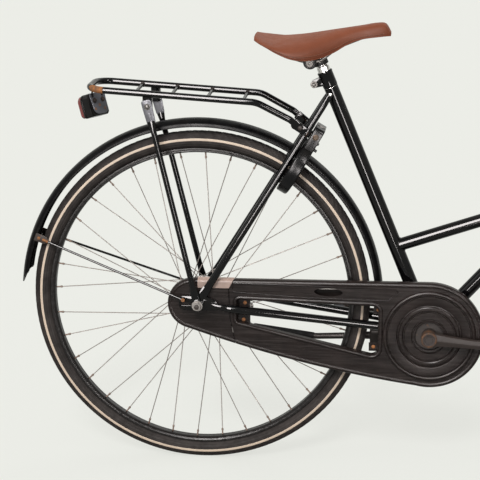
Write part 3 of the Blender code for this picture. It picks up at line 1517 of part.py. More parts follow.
shackle_path = lock_arc(low_end + 0.5, 46, LOCK_RADIUS, 10)
shackle = as_mesh(tube("ring_lock_shackle", shackle_path, SHACKLE_RADIUS, 6))
lever_root = lock_arc(38, 40, LOCK_RADIUS, 1)[0]
lever_tip = lock_arc(38, 40, LOCK_RADIUS + 0.021, 1)[0]
join(shackle, rod("lock_lever", lever_root, lever_tip, 0.0022, 8))
knob_tip = lock_arc(38, 40, LOCK_RADIUS + 0.032, 1)[0]
join(shackle, rod("lock_knob", lock_arc(38, 40, LOCK_RADIUS + 0.018, 1)[0], knob_tip, 0.0065, 10))
chrome(shackle)


# Side stand

stand_axis = Vector((0, math.cos(math.radians(STAND_TILT)), math.sin(math.radians(STAND_TILT))))
stand_pivot = from_axle(0.360, 0.0415, 0.2625)
stand_back = rising(180 - STAND_FOLDED_RISE)
stand_way = (stand_back - stand_axis * stand_back.dot(stand_axis)).normalized()
stand_foot = stand_pivot + stand_way * STAND_LENGTH
leg = as_mesh(tube("side_stand_leg", [stand_pivot, stand_foot], STAND_LEG_RADIUS, 8, [1.0, 0.85]))
pivot_boss = rod(
    "stand_boss", stand_pivot - stand_axis * 0.0075, stand_pivot + stand_axis * 0.0075, 0.0115, 14
)
foot_pad = rod("stand_foot_pad", stand_foot - stand_way * 0.024, stand_foot + stand_way * 0.006, 0.0085, 8)
bore_reach = stand_axis * 0.05
pivot_bore = rod(
    "stand_bore", stand_pivot - bore_reach, stand_pivot + bore_reach, clear(STAND_PIN_RADIUS, 12), 12
)
join(leg, pivot_boss, foot_pad)
cut(leg, pivot_bore)
rusty_steel(leg)

bracket_low = tuple(from_axle(0.352, -0.027, 0.2880))
bracket_high = tuple(from_axle(0.388, 0.0310, 0.2940))
bracket = box("side_stand_bracket", bracket_low, bracket_high)
hanger = box("stand_hanger", (-0.013, -0.0310, -0.0025), (0.015, 0.0130, 0.0015))
hanger.matrix_world = Matrix.Translation(stand_pivot - stand_axis * 0.0100) @ Matrix(
    (Vector((1, 0, 0)), stand_axis.cross(Vector((1, 0, 0))), stand_axis)
).transposed().to_4x4()
pin_from = stand_pivot - stand_axis * 0.0105
pin = rod("stand_pin", pin_from, stand_pivot + stand_axis * 0.0095, STAND_PIN_RADIUS, 10)
head_from, head_to = stand_pivot + stand_axis * 0.0080, stand_pivot + stand_axis * 0.0120
pin_head = rod("stand_pin_head", head_from, head_to, 0.0075, 10)
join(bracket, hanger, pin, pin_head)
rusty_steel(bracket)


# Wire stays and brake arm

stay_foot = REAR + Vector((-0.030, 0, 0.010))
rear_clip_y = GUARD_HALF_WIDTH + GAP + 0.0010
dull_steel(guard_stay("rear_mudguard_stay", REAR, 160.0, stay_foot, 0.0655, rear_clip_y))

arm_end = REAR + Vector((0.140, 0, -0.048))
arm_y = 0.0500
brake_arm = plate("coaster_brake_arm", [belt(REAR, 0.0160, arm_end, 0.0075, 10, 6)], 0.0026, arm_y)
strap_at = chainstay_point(0.132, LEFT)
strap_way = (chainstay_point(0.2, LEFT) - chainstay_point(0.1, LEFT)).normalized()
strap_radius = CHAINSTAY_RADIUS * 0.90
strap = sleeve(
    "arm_strap",
    strap_at - strap_way * 0.007,
    strap_at + strap_way * 0.007,
    strap_radius + 0.0020,
    clear(strap_radius, 12),
    12,
)
tie = box(
    "arm_tie",
    (strap_at.x - 0.006, arm_y - 0.0012, arm_end.z - 0.002),
    (strap_at.x + 0.006, arm_y + 0.0012, strap_at.z - strap_radius - 0.0006),
)
join(brake_arm, strap, tie)
cut(brake_arm, rod("arm_hole", REAR - SIDE * 0.2, REAR + SIDE * 0.2, AXLE_BORE_RADIUS, 12))
dull_steel(brake_arm)

for obj in parts.objects:
    if obj.type == "MESH":
        smooth(obj)
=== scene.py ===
import math

import bmesh
import bpy
from mathutils import Matrix, Vector


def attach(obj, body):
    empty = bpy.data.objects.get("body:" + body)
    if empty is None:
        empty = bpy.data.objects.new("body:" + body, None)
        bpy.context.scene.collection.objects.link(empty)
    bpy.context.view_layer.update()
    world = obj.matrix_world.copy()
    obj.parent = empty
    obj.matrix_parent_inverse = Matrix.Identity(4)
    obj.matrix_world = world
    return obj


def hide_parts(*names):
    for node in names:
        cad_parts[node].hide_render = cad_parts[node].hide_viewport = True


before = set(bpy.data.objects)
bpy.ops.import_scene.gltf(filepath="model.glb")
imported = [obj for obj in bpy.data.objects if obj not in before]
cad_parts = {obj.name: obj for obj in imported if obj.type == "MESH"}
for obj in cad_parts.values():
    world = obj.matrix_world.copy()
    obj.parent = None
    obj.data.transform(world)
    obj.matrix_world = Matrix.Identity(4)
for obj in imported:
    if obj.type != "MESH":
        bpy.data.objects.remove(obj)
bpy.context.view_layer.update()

scene = bpy.context.scene
SIDE = Vector((0, 1, 0))
UP = Vector((0, 0, 1))
RIGHT, LEFT = -1, 1
HANDS = ((RIGHT, "right"), (LEFT, "left"))


def rising(degrees):
    """Unit vector in the bicycle's plane, turned up from +X."""
    return Vector((math.cos(math.radians(degrees)), 0, math.sin(math.radians(degrees))))


# The main sizes and points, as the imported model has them: wheels on the floor, frame angles from it.
TYRE_RADIUS, TYRE_MINOR, SPOKE_COUNT = 0.348, 0.0185, 36
CHAINSTAY_LENGTH, BB_DROP, SEAT_TUBE_LENGTH = 0.4727, 0.055, 0.573
SEAT_ANGLE, HEAD_ANGLE = 67.3, 67.0
FORK_RAKE, AXLE_TO_CROWN, HEADSET_STACK, HEAD_TUBE_LENGTH = 0.068, 0.405, 0.012, 0.170
SHELL_RADIUS, SEAT_TUBE, UPPER_TUBE, HEAD_TUBE = 0.0205, 0.0143, 0.0130, 0.0175
AXLE_HOLE, EYE_RADIUS = 0.0052, 0.0125

REAR = Vector((-0.54425, 0, TYRE_RADIUS))
FRONT = Vector((0.57075, 0, TYRE_RADIUS))
BB = REAR + Vector((math.sqrt(CHAINSTAY_LENGTH**2 - BB_DROP**2), 0, -BB_DROP))
SEAT_DIR = rising(180 - SEAT_ANGLE)
HEAD_DIR = rising(180 - HEAD_ANGLE)
HEAD_AHEAD = rising(90 - HEAD_ANGLE)
SEAT_TOP = BB + SEAT_DIR * SEAT_TUBE_LENGTH
STEER_FOOT = FRONT - HEAD_AHEAD * FORK_RAKE
CROWN_RACE = STEER_FOOT + HEAD_DIR * AXLE_TO_CROWN
HEAD_BOTTOM = CROWN_RACE + HEAD_DIR * HEADSET_STACK
HEAD_TOP = HEAD_BOTTOM + HEAD_DIR * HEAD_TUBE_LENGTH


def at(x, y, z):
    """A point given from the rear axle's foot on the floor."""
    return Vector((REAR.x + x, y, z))


# Shapes


class Shape:
    """Points and faces of one piece, with the finish that each face has."""

    def __init__(self):
        self.points, self.faces, self.marks = [], [], []

    def add(self, made, mark=0):
        """Joins points and faces on; the mark says which of the piece's finishes they have."""
        points, faces = made
        first = len(self.points)
        self.points.extend(Vector(point) for point in points)
        self.faces.extend(tuple(first + index for index in face) for face in faces)
        self.marks.extend([mark] * len(faces))
        return self


def grid(rings, wrap_ring=True, wrap_rows=False, caps=True):
    """Faces that join rings of points one after another."""
    points = [point for ring in rings for point in ring]
    size, rows = len(rings[0]), len(rings)
    faces = []
    for row in range(rows if wrap_rows else rows - 1):
        below = (row + 1) % rows
        for step in range(size if wrap_ring else size - 1):
            other = (step + 1) % size
            faces.append((row * size + step, row * size + other, below * size + other, below * size + step))
    if caps and not wrap_rows:
        faces.append(tuple(range(size)))
        faces.append(tuple((rows - 1) * size + step for step in range(size)))
    return points, faces


def turned(profile, centre, axis, segments=48, closed=False, sweep=360.0, first=None):
    """A profile of (radius, height) turned about an axis."""
    axis = Vector(axis).normalized()
    first = Vector(first).normalized() if first else axis.orthogonal().normalized()
    second = axis.cross(first)
    whole = sweep >= 360
    rings = []
    for index in range(segments if whole else segments + 1):
        angle = math.radians(sweep * index / segments)
        way = first * math.cos(angle) + second * math.sin(angle)
        rings.append([centre + way * radius + axis * height for radius, height in profile])
    return grid(rings, wrap_ring=closed, wrap_rows=whole, caps=closed)


def swept(path, radius, sides=20, scale=None, up=None, loop=False):
    """A bar along a path. scale holds a number or a pair (along up, across) for each point."""
    path = [Vector(point) for point in path]
    count = len(path)
    rings = []
    normal = None
    for index, point in enumerate(path):
        if loop:
            way = path[(index + 1) % count] - path[index - 1]
        else:
            way = path[min(index + 1, count - 1)] - path[max(index - 1, 0)]
        way.normalize()
        if normal is None:
            normal = Vector(up) if up else way.orthogonal()
        normal = (normal - way * normal.dot(way)).normalized()
        across = way.cross(normal)
        size = scale[index] if scale else 1.0
        tall, wide = size if isinstance(size, tuple) else (size, size)
        ring = []
        for step in range(sides):
            angle = math.tau * step / sides
            ring.append(
                point + normal * math.cos(angle) * radius * tall + across * math.sin(angle) * radius * wide
            )
        rings.append(ring)
    return grid(rings, wrap_rows=loop, caps=not loop)


def cylinder(centre, axis, radius, low, high, sides=48):
    """A round bar on an axis, between two heights along it."""
    return turned([(0, low), (radius, low), (radius, high), (0, high)], centre, axis, sides)


def collar(inner, outer, low, high, ease, rise=None):
    """The section of a ring whose outer rims are eased: by ease inward and by rise along the axis."""
    rise = math.copysign(rise or ease, high - low)
    return [
        (inner, low), (outer - ease, low), (outer, low + rise),
        (outer, high - rise), (outer - ease, high), (inner, high),
    ]


def rod(start, end, radius, sides=24, soft=0.0):
    """A round bar between two points, its rims rounded by soft."""
    start, end = Vector(start), Vector(end)
    span = end - start
    if not soft:
        return cylinder(start, span, radius, 0, span.length, sides)
    profile = [(0, 0)]
    for step in range(4):
        angle = math.pi / 2 * step / 3
        profile.append((radius - soft + soft * math.sin(angle), soft - soft * math.cos(angle)))
    profile += [(near, span.length - height) for near, height in reversed(profile)]
    return turned(profile, start, span, sides)


def rounded(points, radii, step_degrees=4):
    """The corners of a path turned into arcs, one radius for each inner corner."""
    points = [Vector(point) for point in points]
    path = [points[0].copy()]
    for index in range(1, len(points) - 1):
        corner = points[index]
        back = (points[index - 1] - corner).normalized()
        ahead = (points[index + 1] - corner).normalized()
        turn = math.pi - back.angle(ahead)
        if turn < 1e-4:
            path.append(corner.copy())
            continue
        reach = radii[index - 1] * math.tan(turn / 2)
        centre = corner + (back + ahead).normalized() * radii[index - 1] / math.cos(turn / 2)
        start = corner + back * reach - centre
        axis = start.cross(corner + ahead * reach - centre).normalized()
        steps = max(2, round(math.degrees(turn) / step_degrees))
        for step in range(steps + 1):
            path.append(centre + Matrix.Rotation(turn * step / steps, 3, axis) @ start)
    path.append(points[-1].copy())
    return path


def spread(path, step):
    """The path with a point at least every step."""
    found = [Vector(path[0])]
    for first, second in zip(path, path[1:]):
        span = (Vector(second) - Vector(first)).length
        parts = max(1, math.ceil(span / step))
        for part in range(1, parts + 1):
            found.append(Vector(first).lerp(Vector(second), part / parts))
    return found


def curved(points, steps=8):
    """A smooth curve through points."""
    points = [Vector(point) for point in points]
    found = []
    for index in range(len(points) - 1):
        before = points[max(index - 1, 0)]
        first, second = points[index], points[index + 1]
        after = points[min(index + 2, len(points) - 1)]
        for step in range(steps):
            t = step / steps
            found.append(
                0.5 * (
                    2 * first + (second - before) * t
                    + (2 * before - 5 * first + 4 * second - after) * t * t
                    + (3 * first - before - 3 * second + after) * t * t * t
                )
            )
    found.append(points[-1])
    return found


def arc(centre, radius, start, end, count):
    """Points (x, z) round a centre, from one angle in degrees to another."""
    found = []
    for index in range(count + 1):
        angle = math.radians(start + (end - start) * index / count)
        found.append((centre[0] + radius * math.cos(angle), centre[2] + radius * math.sin(angle)))
    return found


def corners(points, radii, steps=6):
    """A closed outline of (x, z) corners, each rounded by its own radius."""
    found = []
    count = len(points)
    for index in range(count):
        corner = Vector(points[index])
        back = (Vector(points[index - 1]) - corner).normalized()
        ahead = (Vector(points[(index + 1) % count]) - corner).normalized()
        half = back.angle(ahead) / 2
        reach = radii[index] / math.tan(half)
        centre = corner + (back + ahead).normalized() * radii[index] / math.sin(half)
        start = corner + back * reach - centre
        end = corner + ahead * reach - centre
        sweep = start.angle_signed(end)
        for step in range(steps + 1):
            found.append(tuple(centre + Matrix.Rotation(-sweep * step / steps, 2) @ start))
    return found


def lofted(levels):
    """A solid through outlines of (x, z), each at its own y."""
    return grid([[(x, y, z) for x, z in outline] for outline, y in levels])


def prism(outline, low, high):
    """A solid through one outline of (x, z), from one y to another."""
    return lofted([(outline, low), (outline, high)])


def flat(points):
    """The points seen from the side, as (x, z)."""
    return [(point.x, point.z) for point in points]


def mirrored(points):
    """The points on the bicycle's other side, in the opposite order."""
    return [Vector((point.x, -point.y, point.z)) for point in reversed(points)]


def plate(outlines, thickness, y, soft=0.0004):
    """Flat outlines of (x, z) made into a plate with softened edges, centred on y."""
    curve = bpy.data.curves.new("plate", "CURVE")
    curve.dimensions = "2D"
    curve.fill_mode = "BOTH"
    curve.extrude = thickness / 2 - soft
    curve.bevel_depth = soft
    curve.bevel_resolution = 1
    curve.offset = -soft
    for outline in outlines:
        spline = curve.splines.new("POLY")
        spline.points.add(len(outline) - 1)
        spline.use_cyclic_u = True
        for index, (x, z) in enumerate(outline):
            spline.points[index].co = (x, z, 0, 1)
    holder = bpy.data.objects.new("plate", curve)
    scene.collection.objects.link(holder)
    bpy.context.view_layer.update()
    made = bpy.data.meshes.new_from_object(holder.evaluated_get(bpy.context.evaluated_depsgraph_get()))
    points = [(point.co.x, y - point.co.z, point.co.y) for point in made.vertices]
    faces = [tuple(face.vertices) for face in made.polygons]
    bpy.data.objects.remove(holder)
    bpy.data.meshes.remove(made)
    return points, faces


def moved(made, matrix):
    """The same points and faces in another place."""
    points, faces = made
    return [matrix @ Vector(point) for point in points], faces


def frame_at(origin, *axes):
    """The matrix that puts a shape at an origin with its x, y and z along three axes."""
    return Matrix.Translation(origin) @ Matrix(axes).transposed().to_4x4()


def block(low, high):
    """A plain box as points and faces, for a piece that is then bevelled."""
    points = [(x, y, z) for x in (low[0], high[0]) for y in (low[1], high[1]) for z in (low[2], high[2])]
    faces = [(0, 1, 3, 2), (4, 6, 7, 5), (0, 4, 5, 1), (2, 3, 7, 6), (0, 2, 6, 4), (1, 5, 7, 3)]
    return points, faces


def domed_bolt(foot, axis, radius, height, sides=24):
    """A low round bolt head with a washer face."""
    profile = [(0, 0), (radius, 0), (radius, height * 0.35)]
    for step in range(1, 7):
        angle = math.pi / 2 * step / 6
        profile.append((radius * math.cos(angle), height * (0.35 + 0.65 * math.sin(angle))))
    return turned(profile, Vector(foot), axis, sides)


def hexagon(foot, axis, across, height):
    """A hexagon nut with its corners eased at both faces."""
    axis = Vector(axis).normalized()
    first = axis.orthogonal().normalized()
    second = axis.cross(first)
    rings = []
    easing = across * 0.07
    for inset, level in ((easing, 0.0), (0.0, easing * 0.6), (0.0, height - easing * 0.6), (easing, height)):
        ring = []
        for step in range(24):
            angle = math.tau * step / 24
            flat = across / 2 / math.cos((angle + math.pi / 6) % (math.pi / 3) - math.pi / 6)
            reach = min(flat, across / 2 * 1.155 - inset)
            way = first * math.cos(angle) + second * math.sin(angle)
            ring.append(Vector(foot) + axis * level + way * reach)
        rings.append(ring)
    return grid(rings)


def thread(foot, axis, radius, length, pitch=0.001):
    """A threaded end with a chamfered tip."""
    profile = [(0, 0), (radius, 0)]
    for turn in range(int(length / pitch)):
        for part, share in ((0.1, 1.0), (0.5, 0.88), (0.9, 1.0)):
            profile.append((radius * share, pitch * (turn + part)))
    profile += [(radius * 0.75, length), (0, length)]
    return turned(profile, Vector(foot), axis, 20)


def placed(name, points, faces, merge, finishes=(), marks=()):
    """An object of points and faces, its double points merged and its normals outward."""
    mesh = bpy.data.meshes.new(name)
    mesh.from_pydata([tuple(point) for point in points], [], faces)
    for finish in finishes:
        mesh.materials.append(finish)
    for face, mark in zip(mesh.polygons, marks):
        face.material_index = mark
    bm = bmesh.new()
    bm.from_mesh(mesh)
    bmesh.ops.remove_doubles(bm, verts=bm.verts, dist=merge)
    bmesh.ops.recalc_face_normals(bm, faces=bm.faces)
    bm.to_mesh(mesh)
    bm.free()
    obj = bpy.data.objects.new(name, mesh)
    scene.collection.objects.link(obj)
    return obj


def piece(name, shape, body, finishes, replaces=None, sharp=35, round_off=None):
    """One visible object, riding on a body; where it stands for a node of the CAD model, that node is hidden.
    """
    shape = shape if isinstance(shape, Shape) else Shape().add(shape)
    finishes = finishes if isinstance(finishes, list) else [finishes]
    obj = placed(name, shape.points, shape.faces, 2e-6, finishes, shape.marks)
    if round_off:
        edge = obj.modifiers.new("rounded", "BEVEL")
        edge.width = round_off
        edge.segments = 3
        edge.limit_method = "ANGLE"
        edge.angle_limit = math.radians(40)
        obj.data.shade_smooth()
        settle(obj)
    obj.data.shade_smooth()
    obj.data.set_sharp_from_angle(angle=math.radians(sharp))
    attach(obj, body)
    if replaces:
        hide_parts(replaces)
    return obj


def settle(obj):
    """Takes the modifiers' result into the mesh."""
    bpy.context.view_layer.update()
    made = bpy.data.meshes.new_from_object(obj.evaluated_get(bpy.context.evaluated_depsgraph_get()))
    old = obj.data
    obj.modifiers.clear()
    obj.data = made
    bpy.data.meshes.remove(old)
    return obj


def carved(base, steps=()):
    """A solid after a list of (operation, solid), as points and faces."""
    obj = placed("carved", *base, 1e-6)
    helpers = []
    for operation, made in steps:
        helper = placed("cutter", *made, 1e-6)
        helpers.append(helper)
        change = obj.modifiers.new(operation, "BOOLEAN")
        change.operation = operation
        change.solver = "EXACT"
        change.object = helper
    settle(obj)
    points = [point.co.copy() for point in obj.data.vertices]
    faces = [tuple(face.vertices) for face in obj.data.polygons]
    for helper in helpers + [obj]:
        mesh = helper.data
        bpy.data.objects.remove(helper)
        bpy.data.meshes.remove(mesh)
    return points, faces


# Finishes


class Finish:
    """A node material built step by step."""

    def __init__(self, name, colour, roughness, metallic=0.0, **values):
        self.material = bpy.data.materials.new(name)
        self.material.use_nodes = True
        self.tree = self.material.node_tree
        self.shader = self.tree.nodes["Principled BSDF"]
        self.put("Base Color", (*colour, 1))
        self.put("Roughness", roughness)
        self.put("Metallic", metallic)
        for socket, value in values.items():
            self.put(socket.replace("_", " "), value)
        place = self.tree.nodes.new("ShaderNodeTexCoord")
        self.place = place.outputs["Object"]

    def put(self, socket, value):
        self.shader.inputs[socket].default_value = value

    def link(self, source, target):
        self.tree.links.new(source, target)

    def stretched(self, scale, turn=(0, 0, 0)):
        """The object's coordinates, scaled and turned by degrees."""
        node = self.tree.nodes.new("ShaderNodeMapping")
        node.inputs["Scale"].default_value = scale
        node.inputs["Rotation"].default_value = [math.radians(angle) for angle in turn]
        self.link(self.place, node.inputs["Vector"])
        return node.outputs["Vector"]

    def noise(self, scale, detail=4.0, roughness=0.55, vector=None, distortion=0.0):
        node = self.tree.nodes.new("ShaderNodeTexNoise")
        node.inputs["Scale"].default_value = scale
        node.inputs["Detail"].default_value = detail
        node.inputs["Roughness"].default_value = roughness
        node.inputs["Distortion"].default_value = distortion
        self.link(vector or self.place, node.inputs["Vector"])
        return node.outputs["Fac"]

    def voronoi(self, scale, vector=None, feature="F1"):
        node = self.tree.nodes.new("ShaderNodeTexVoronoi")
        node.feature = feature
        node.inputs["Scale"].default_value = scale
        self.link(vector or self.place, node.inputs["Vector"])
        return node.outputs["Distance"]

    def ramp(self, source, *stops):
        """Colours or grey values by position: (position, value)."""
        node = self.tree.nodes.new("ShaderNodeValToRGB")
        steps = node.color_ramp.elements
        while len(steps) < len(stops):
            steps.new(0.5)
        for step, (position, value) in zip(steps, stops):
            step.position = position
            step.color = (*value, 1) if isinstance(value, tuple) else (value, value, value, 1)
        self.link(source, node.inputs["Fac"])
        return node.outputs["Color"]

    def mix(self, share, first, second):
        """A blend of two colours: share 0 gives the first."""
        node = self.tree.nodes.new("ShaderNodeMix")
        node.data_type = "RGBA"
        self.link(share, node.inputs["Factor"])
        for name, value in (("A", first), ("B", second)):
            socket = [entry for entry in node.inputs if entry.name == name and entry.type == "RGBA"][0]
            if isinstance(value, tuple):
                socket.default_value = (*value, 1)
            else:
                self.link(value, socket)
        return [entry for entry in node.outputs if entry.type == "RGBA"][0]

    def colour(self, source):
        self.link(source, self.shader.inputs["Base Color"])
        return self

    def rough(self, source, low, high, start=0.3, end=0.7):
        """Roughness from low to high as the source goes from start to end."""
        self.link(self.ramp(source, (start, low), (end, high)), self.shader.inputs["Roughness"])
        return self

    def relief(self, source, strength, distance=0.001):
        """Adds bumps to those that are there already."""
        node = self.tree.nodes.new("ShaderNodeBump")
        node.inputs["Strength"].default_value = strength
        node.inputs["Distance"].default_value = distance
        self.link(source, node.inputs["Height"])
        if self.shader.inputs["Normal"].links:
            self.link(self.shader.inputs["Normal"].links[0].from_socket, node.inputs["Normal"])
        self.link(node.outputs["Normal"], self.shader.inputs["Normal"])
        return self


def times(tone, factor):
    """A lighter or darker tone of a colour."""
    return tuple(part * factor for part in tone)


def black_enamel(name="black_enamel", rust=0.80, smooth=0.07, dull=0.12, shine=0.17):
    """Glossy paint with dust, small chips and, above a noise level, rust."""
    made = Finish(name, (0.006, 0.006, 0.0065), smooth, Specular_IOR_Level=shine)
    dirt = made.ramp(made.noise(38, 6, 0.65), (0.48, 0.0), (0.85, 1.0))
    tone = made.mix(dirt, (0.0035, 0.0034, 0.0040), (0.013, 0.0105, 0.0090))
    chips = made.ramp(made.noise(420, 3, 0.5), (0.74, 0.0), (0.78, 1.0))
    chipped = made.mix(chips, tone, (0.075, 0.048, 0.034))
    corroded = made.ramp(made.noise(75, 7, 0.7, distortion=0.5), (rust, 0.0), (rust + 0.06, 1.0))
    made.colour(made.mix(corroded, chipped, (0.15, 0.062, 0.028)))
    made.rough(made.noise(60, 5, 0.6), smooth, dull, 0.40, 0.85)
    return made.relief(made.noise(260, 2, 0.5), 0.004, 0.0006).material


def case_moulding():
    """Worn black plastic, with streaks along its arms, fine scuffs and a moulded grain."""
    made = Finish("case_moulding", (0.030, 0.0225, 0.021), 0.30, Specular_IOR_Level=0.09)
    streaks = made.noise(1.0, 5, 0.6, made.stretched((14, 240, 240), (0, 3, 0)))
    patches = made.noise(16, 5, 0.6)
    shade = made.ramp(patches, (0.35, 0.0), (0.75, 1.0))
    tone = made.mix(shade, (0.0150, 0.0108, 0.0098), (0.034, 0.0240, 0.0215))
    worn = made.mix(made.ramp(streaks, (0.52, 0.0), (0.85, 1.0)), tone, (0.050, 0.037, 0.033))
    scratches = made.noise(1.0, 3, 0.7, made.stretched((60, 900, 900), (0, -8, 0)))
    scuffs = made.ramp(scratches, (0.66, 0.0), (0.74, 1.0))
    made.colour(made.mix(scuffs, worn, (0.11, 0.085, 0.078)))
    made.rough(streaks, 0.20, 0.38)
    made.relief(made.noise(1400, 2, 0.5), 0.12, 0.0003)
    return made.relief(streaks, 0.06, 0.0006).material


def leather():
    """Pebbled brown leather in blotches of two tones, darker along the lines between its pebbles."""
    made = Finish("saddle_leather", (0.30, 0.105, 0.060), 0.60, Specular_IOR_Level=0.10)
    blotch = made.ramp(made.noise(20, 5, 0.6), (0.35, 0.0), (0.72, 1.0))
    tone = made.mix(blotch, (0.250, 0.072, 0.034), (0.312, 0.094, 0.045))
    grain = made.ramp(made.voronoi(1400, feature="DISTANCE_TO_EDGE"), (0.0, 0.0), (0.10, 1.0))
    made.colour(made.mix(grain, (0.19, 0.052, 0.024), tone))
    made.rough(made.noise(90, 4, 0.6), 0.46, 0.62)
    made.relief(grain, 0.16, 0.0003)
    return made.relief(made.noise(240, 3, 0.6), 0.10, 0.0006).material


def rubber(name, tone):
    """Matt rubber with dust in it."""
    made = Finish(name, tone, 0.72, Specular_IOR_Level=0.08)
    dust = made.ramp(made.noise(30, 6, 0.7), (0.4, 0.0), (0.8, 1.0))
    pale = tuple(part * 1.9 + 0.006 for part in tone)
    made.colour(made.mix(dust, times(tone, 0.7), pale))
    made.rough(made.noise(80, 4, 0.6), 0.58, 0.82)
    return made.relief(made.noise(900, 3, 0.6), 0.25, 0.0004).material


def bright_steel(name="chrome", tone=(0.58, 0.57, 0.55), rough=0.14, rust=0.70):
    """Plated steel with fine scratches and rust pits; rust is where pits begin."""
    made = Finish(name, tone, rough, 1.0)
    pits = made.ramp(made.noise(340, 4, 0.65), (rust, 0.0), (rust + 0.05, 1.0))
    haze = made.ramp(made.noise(45, 5, 0.6), (0.4, 0.0), (0.8, 1.0))
    made.colour(made.mix(pits, made.mix(haze, tone, times(tone, 0.72)), (0.20, 0.095, 0.045)))
    made.rough(made.noise(120, 5, 0.65), rough, rough + 0.22)
    return made.relief(made.noise(500, 2, 0.5), 0.03, 0.0004).material


def rusted(name, tone, rust, share, metallic=0.5, rough=0.55):
    """Dark steel with rust over part of it; share is the noise level where rust begins."""
    made = Finish(name, tone, rough, metallic, Specular_IOR_Level=0.15)
    field = made.noise(95, 7, 0.68, distortion=0.4)
    fine = made.noise(700, 4, 0.6)
    cover = made.ramp(field, (share, 0.0), (share + 0.12, 1.0))
    rusty = made.mix(fine, times(rust, 0.45), rust)
    base = made.mix(made.noise(60, 5, 0.6), times(tone, 0.6), times(tone, 1.35))
    made.colour(made.mix(cover, base, rusty))
    made.rough(fine, rough - 0.12, rough + 0.18)
    return made.relief(field, 0.22, 0.0008).material


def plain_satin(name, tone, rough, metallic=0.0, grain=900, depth=0.12):
    """One tone with a soft unevenness and a fine grain."""
    made = Finish(name, tone, rough, metallic, Specular_IOR_Level=0.15)
    field = made.noise(50, 5, 0.6)
    made.colour(made.mix(field, times(tone, 0.78), times(tone, 1.18)))
    made.rough(made.noise(130, 4, 0.6), max(0.04, rough - 0.1), rough + 0.12)
    return made.relief(made.noise(grain, 3, 0.55), depth, 0.0003).material


def red_lens():
    """Clear red plastic, with fine ribs and dust in them."""
    made = Finish("red_lens", (0.30, 0.012, 0.010), 0.14, Specular_IOR_Level=0.5)
    made.put("Transmission Weight", 0.25)
    made.put("Coat Weight", 0.4)
    made.put("Coat Roughness", 0.08)
    dust = made.ramp(made.noise(160, 5, 0.6), (0.5, 0.0), (0.8, 1.0))
    made.colour(made.mix(dust, (0.26, 0.010, 0.009), (0.42, 0.075, 0.055)))
    return made.relief(made.voronoi(420), 0.20, 0.0005).material


ENAMEL = black_enamel()
MOULDING = case_moulding()
TYRE = rubber("tyre_rubber", (0.040, 0.0325, 0.0295))
SOFT_BLACK = rubber("soft_black_rubber", (0.014, 0.0135, 0.0135))
RUSTY_ENAMEL = black_enamel("chipped_enamel", rust=0.60)
LEATHER = leather()
THREAD = plain_satin("stitching_thread", (0.40, 0.17, 0.10), 0.7, 0.0, 3000, 0.3)
CRANK_STEEL = rusted("crank_steel", (0.034, 0.0230, 0.0190), (0.13, 0.058, 0.030), 0.64, 0.0, 0.60)
CRANK_RUST = rusted("crank_rust", (0.070, 0.042, 0.028), (0.22, 0.094, 0.038), 0.48, 0.0, 0.65)
PATCH = plain_satin("reflecting_patch", (0.60, 0.43, 0.36), 0.42, 0.0, 1300, 0.35)
LOCK_BLACK = black_enamel("lock_enamel", rust=0.72, smooth=0.22, dull=0.34, shine=0.14)
GUARD_ENAMEL = black_enamel("mudguard_enamel", rust=0.76, smooth=0.26, dull=0.46, shine=0.05)
BOLT_STEEL = plain_satin("worn_bolt_steel", (0.085, 0.080, 0.076), 0.38, 0.30)
GLOSS_BLACK = plain_satin("gloss_black_plastic", (0.010, 0.009, 0.009), 0.16, 0.0, 700, 0.04)
BRASS = rusted("worn_brass", (0.085, 0.060, 0.040), (0.12, 0.065, 0.035), 0.50, 0.15, 0.5)
STAND_STEEL = rusted("stand_steel", (0.030, 0.026, 0.024), (0.18, 0.085, 0.045), 0.66, 0.3, 0.45)
RED_LENS = red_lens()
CHROME = bright_steel()
SPOKE_STEEL = plain_satin("spoke_steel", (0.19, 0.172, 0.158), 0.55, 0.4, 700, 0.1)
DULL_STEEL = plain_satin("dull_steel", (0.30, 0.278, 0.258), 0.40, 0.12, 600, 0.12)
PRESSED = plain_satin("worn_pressed_steel", (0.145, 0.146, 0.162), 0.36, 0.12, 220, 0.20)
DARK_RUST = rusted("dark_rusted_steel", (0.036, 0.027, 0.023), (0.19, 0.082, 0.034), 0.58, 0.05)
ORANGE_RUST = rusted("orange_rust", (0.16, 0.085, 0.045), (0.42, 0.17, 0.055), 0.40, 0.2, 0.75)
NIPPLE = rusted("rusted_nipple", (0.26, 0.19, 0.155), (0.22, 0.11, 0.065), 0.55, 0.1, 0.55)
RIM_ENAMEL = plain_satin("rim_enamel", (0.016, 0.0135, 0.013), 0.30, 0.0, 200, 0.02)
STRIPE = plain_satin("reflecting_stripe", (0.98, 0.78, 0.61), 0.55, 0.0, 1600, 0.20)
MATT_BLACK = plain_satin("matt_black_steel", (0.022, 0.019, 0.018), 0.5)


# Wheels

TYRE_MIDDLE = TYRE_RADIUS - TYRE_MINOR
SHOULDER = math.cos(math.radians(20.3))
STRIPE_RADII = (0.3303, 0.3351)
STRIPE_STEPS = 8
TYRE_STEPS = 432
CASING_DEGREES = [-150 + 3 * index for index in range(101)]
NIPPLE_SEAT = 0.3038
NIPPLE_SECTION = [
    (0, 0.0005), (0.0016, 0.0005), (0.0016, -0.0072), (0.0022, -0.0078), (0.0022, -0.0112), (0.0014, -0.0122),
    (0, -0.0122),
]
FIRST_NIPPLE, SPOKE_LEAN, SPOKE_RADIUS = 88.1, 60.0, 0.00095
FLANGE_INSET = 0.0035


def tyre_point(angle, proud=0.0):
    """Radius and side distance on the casing, at an angle from the crown."""
    rise = math.cos(angle)
    if rise > 0:
        rise = min(1.0, rise / SHOULDER)
    reach = TYRE_MINOR + proud
    return TYRE_MIDDLE + reach * rise, reach * math.sin(angle)


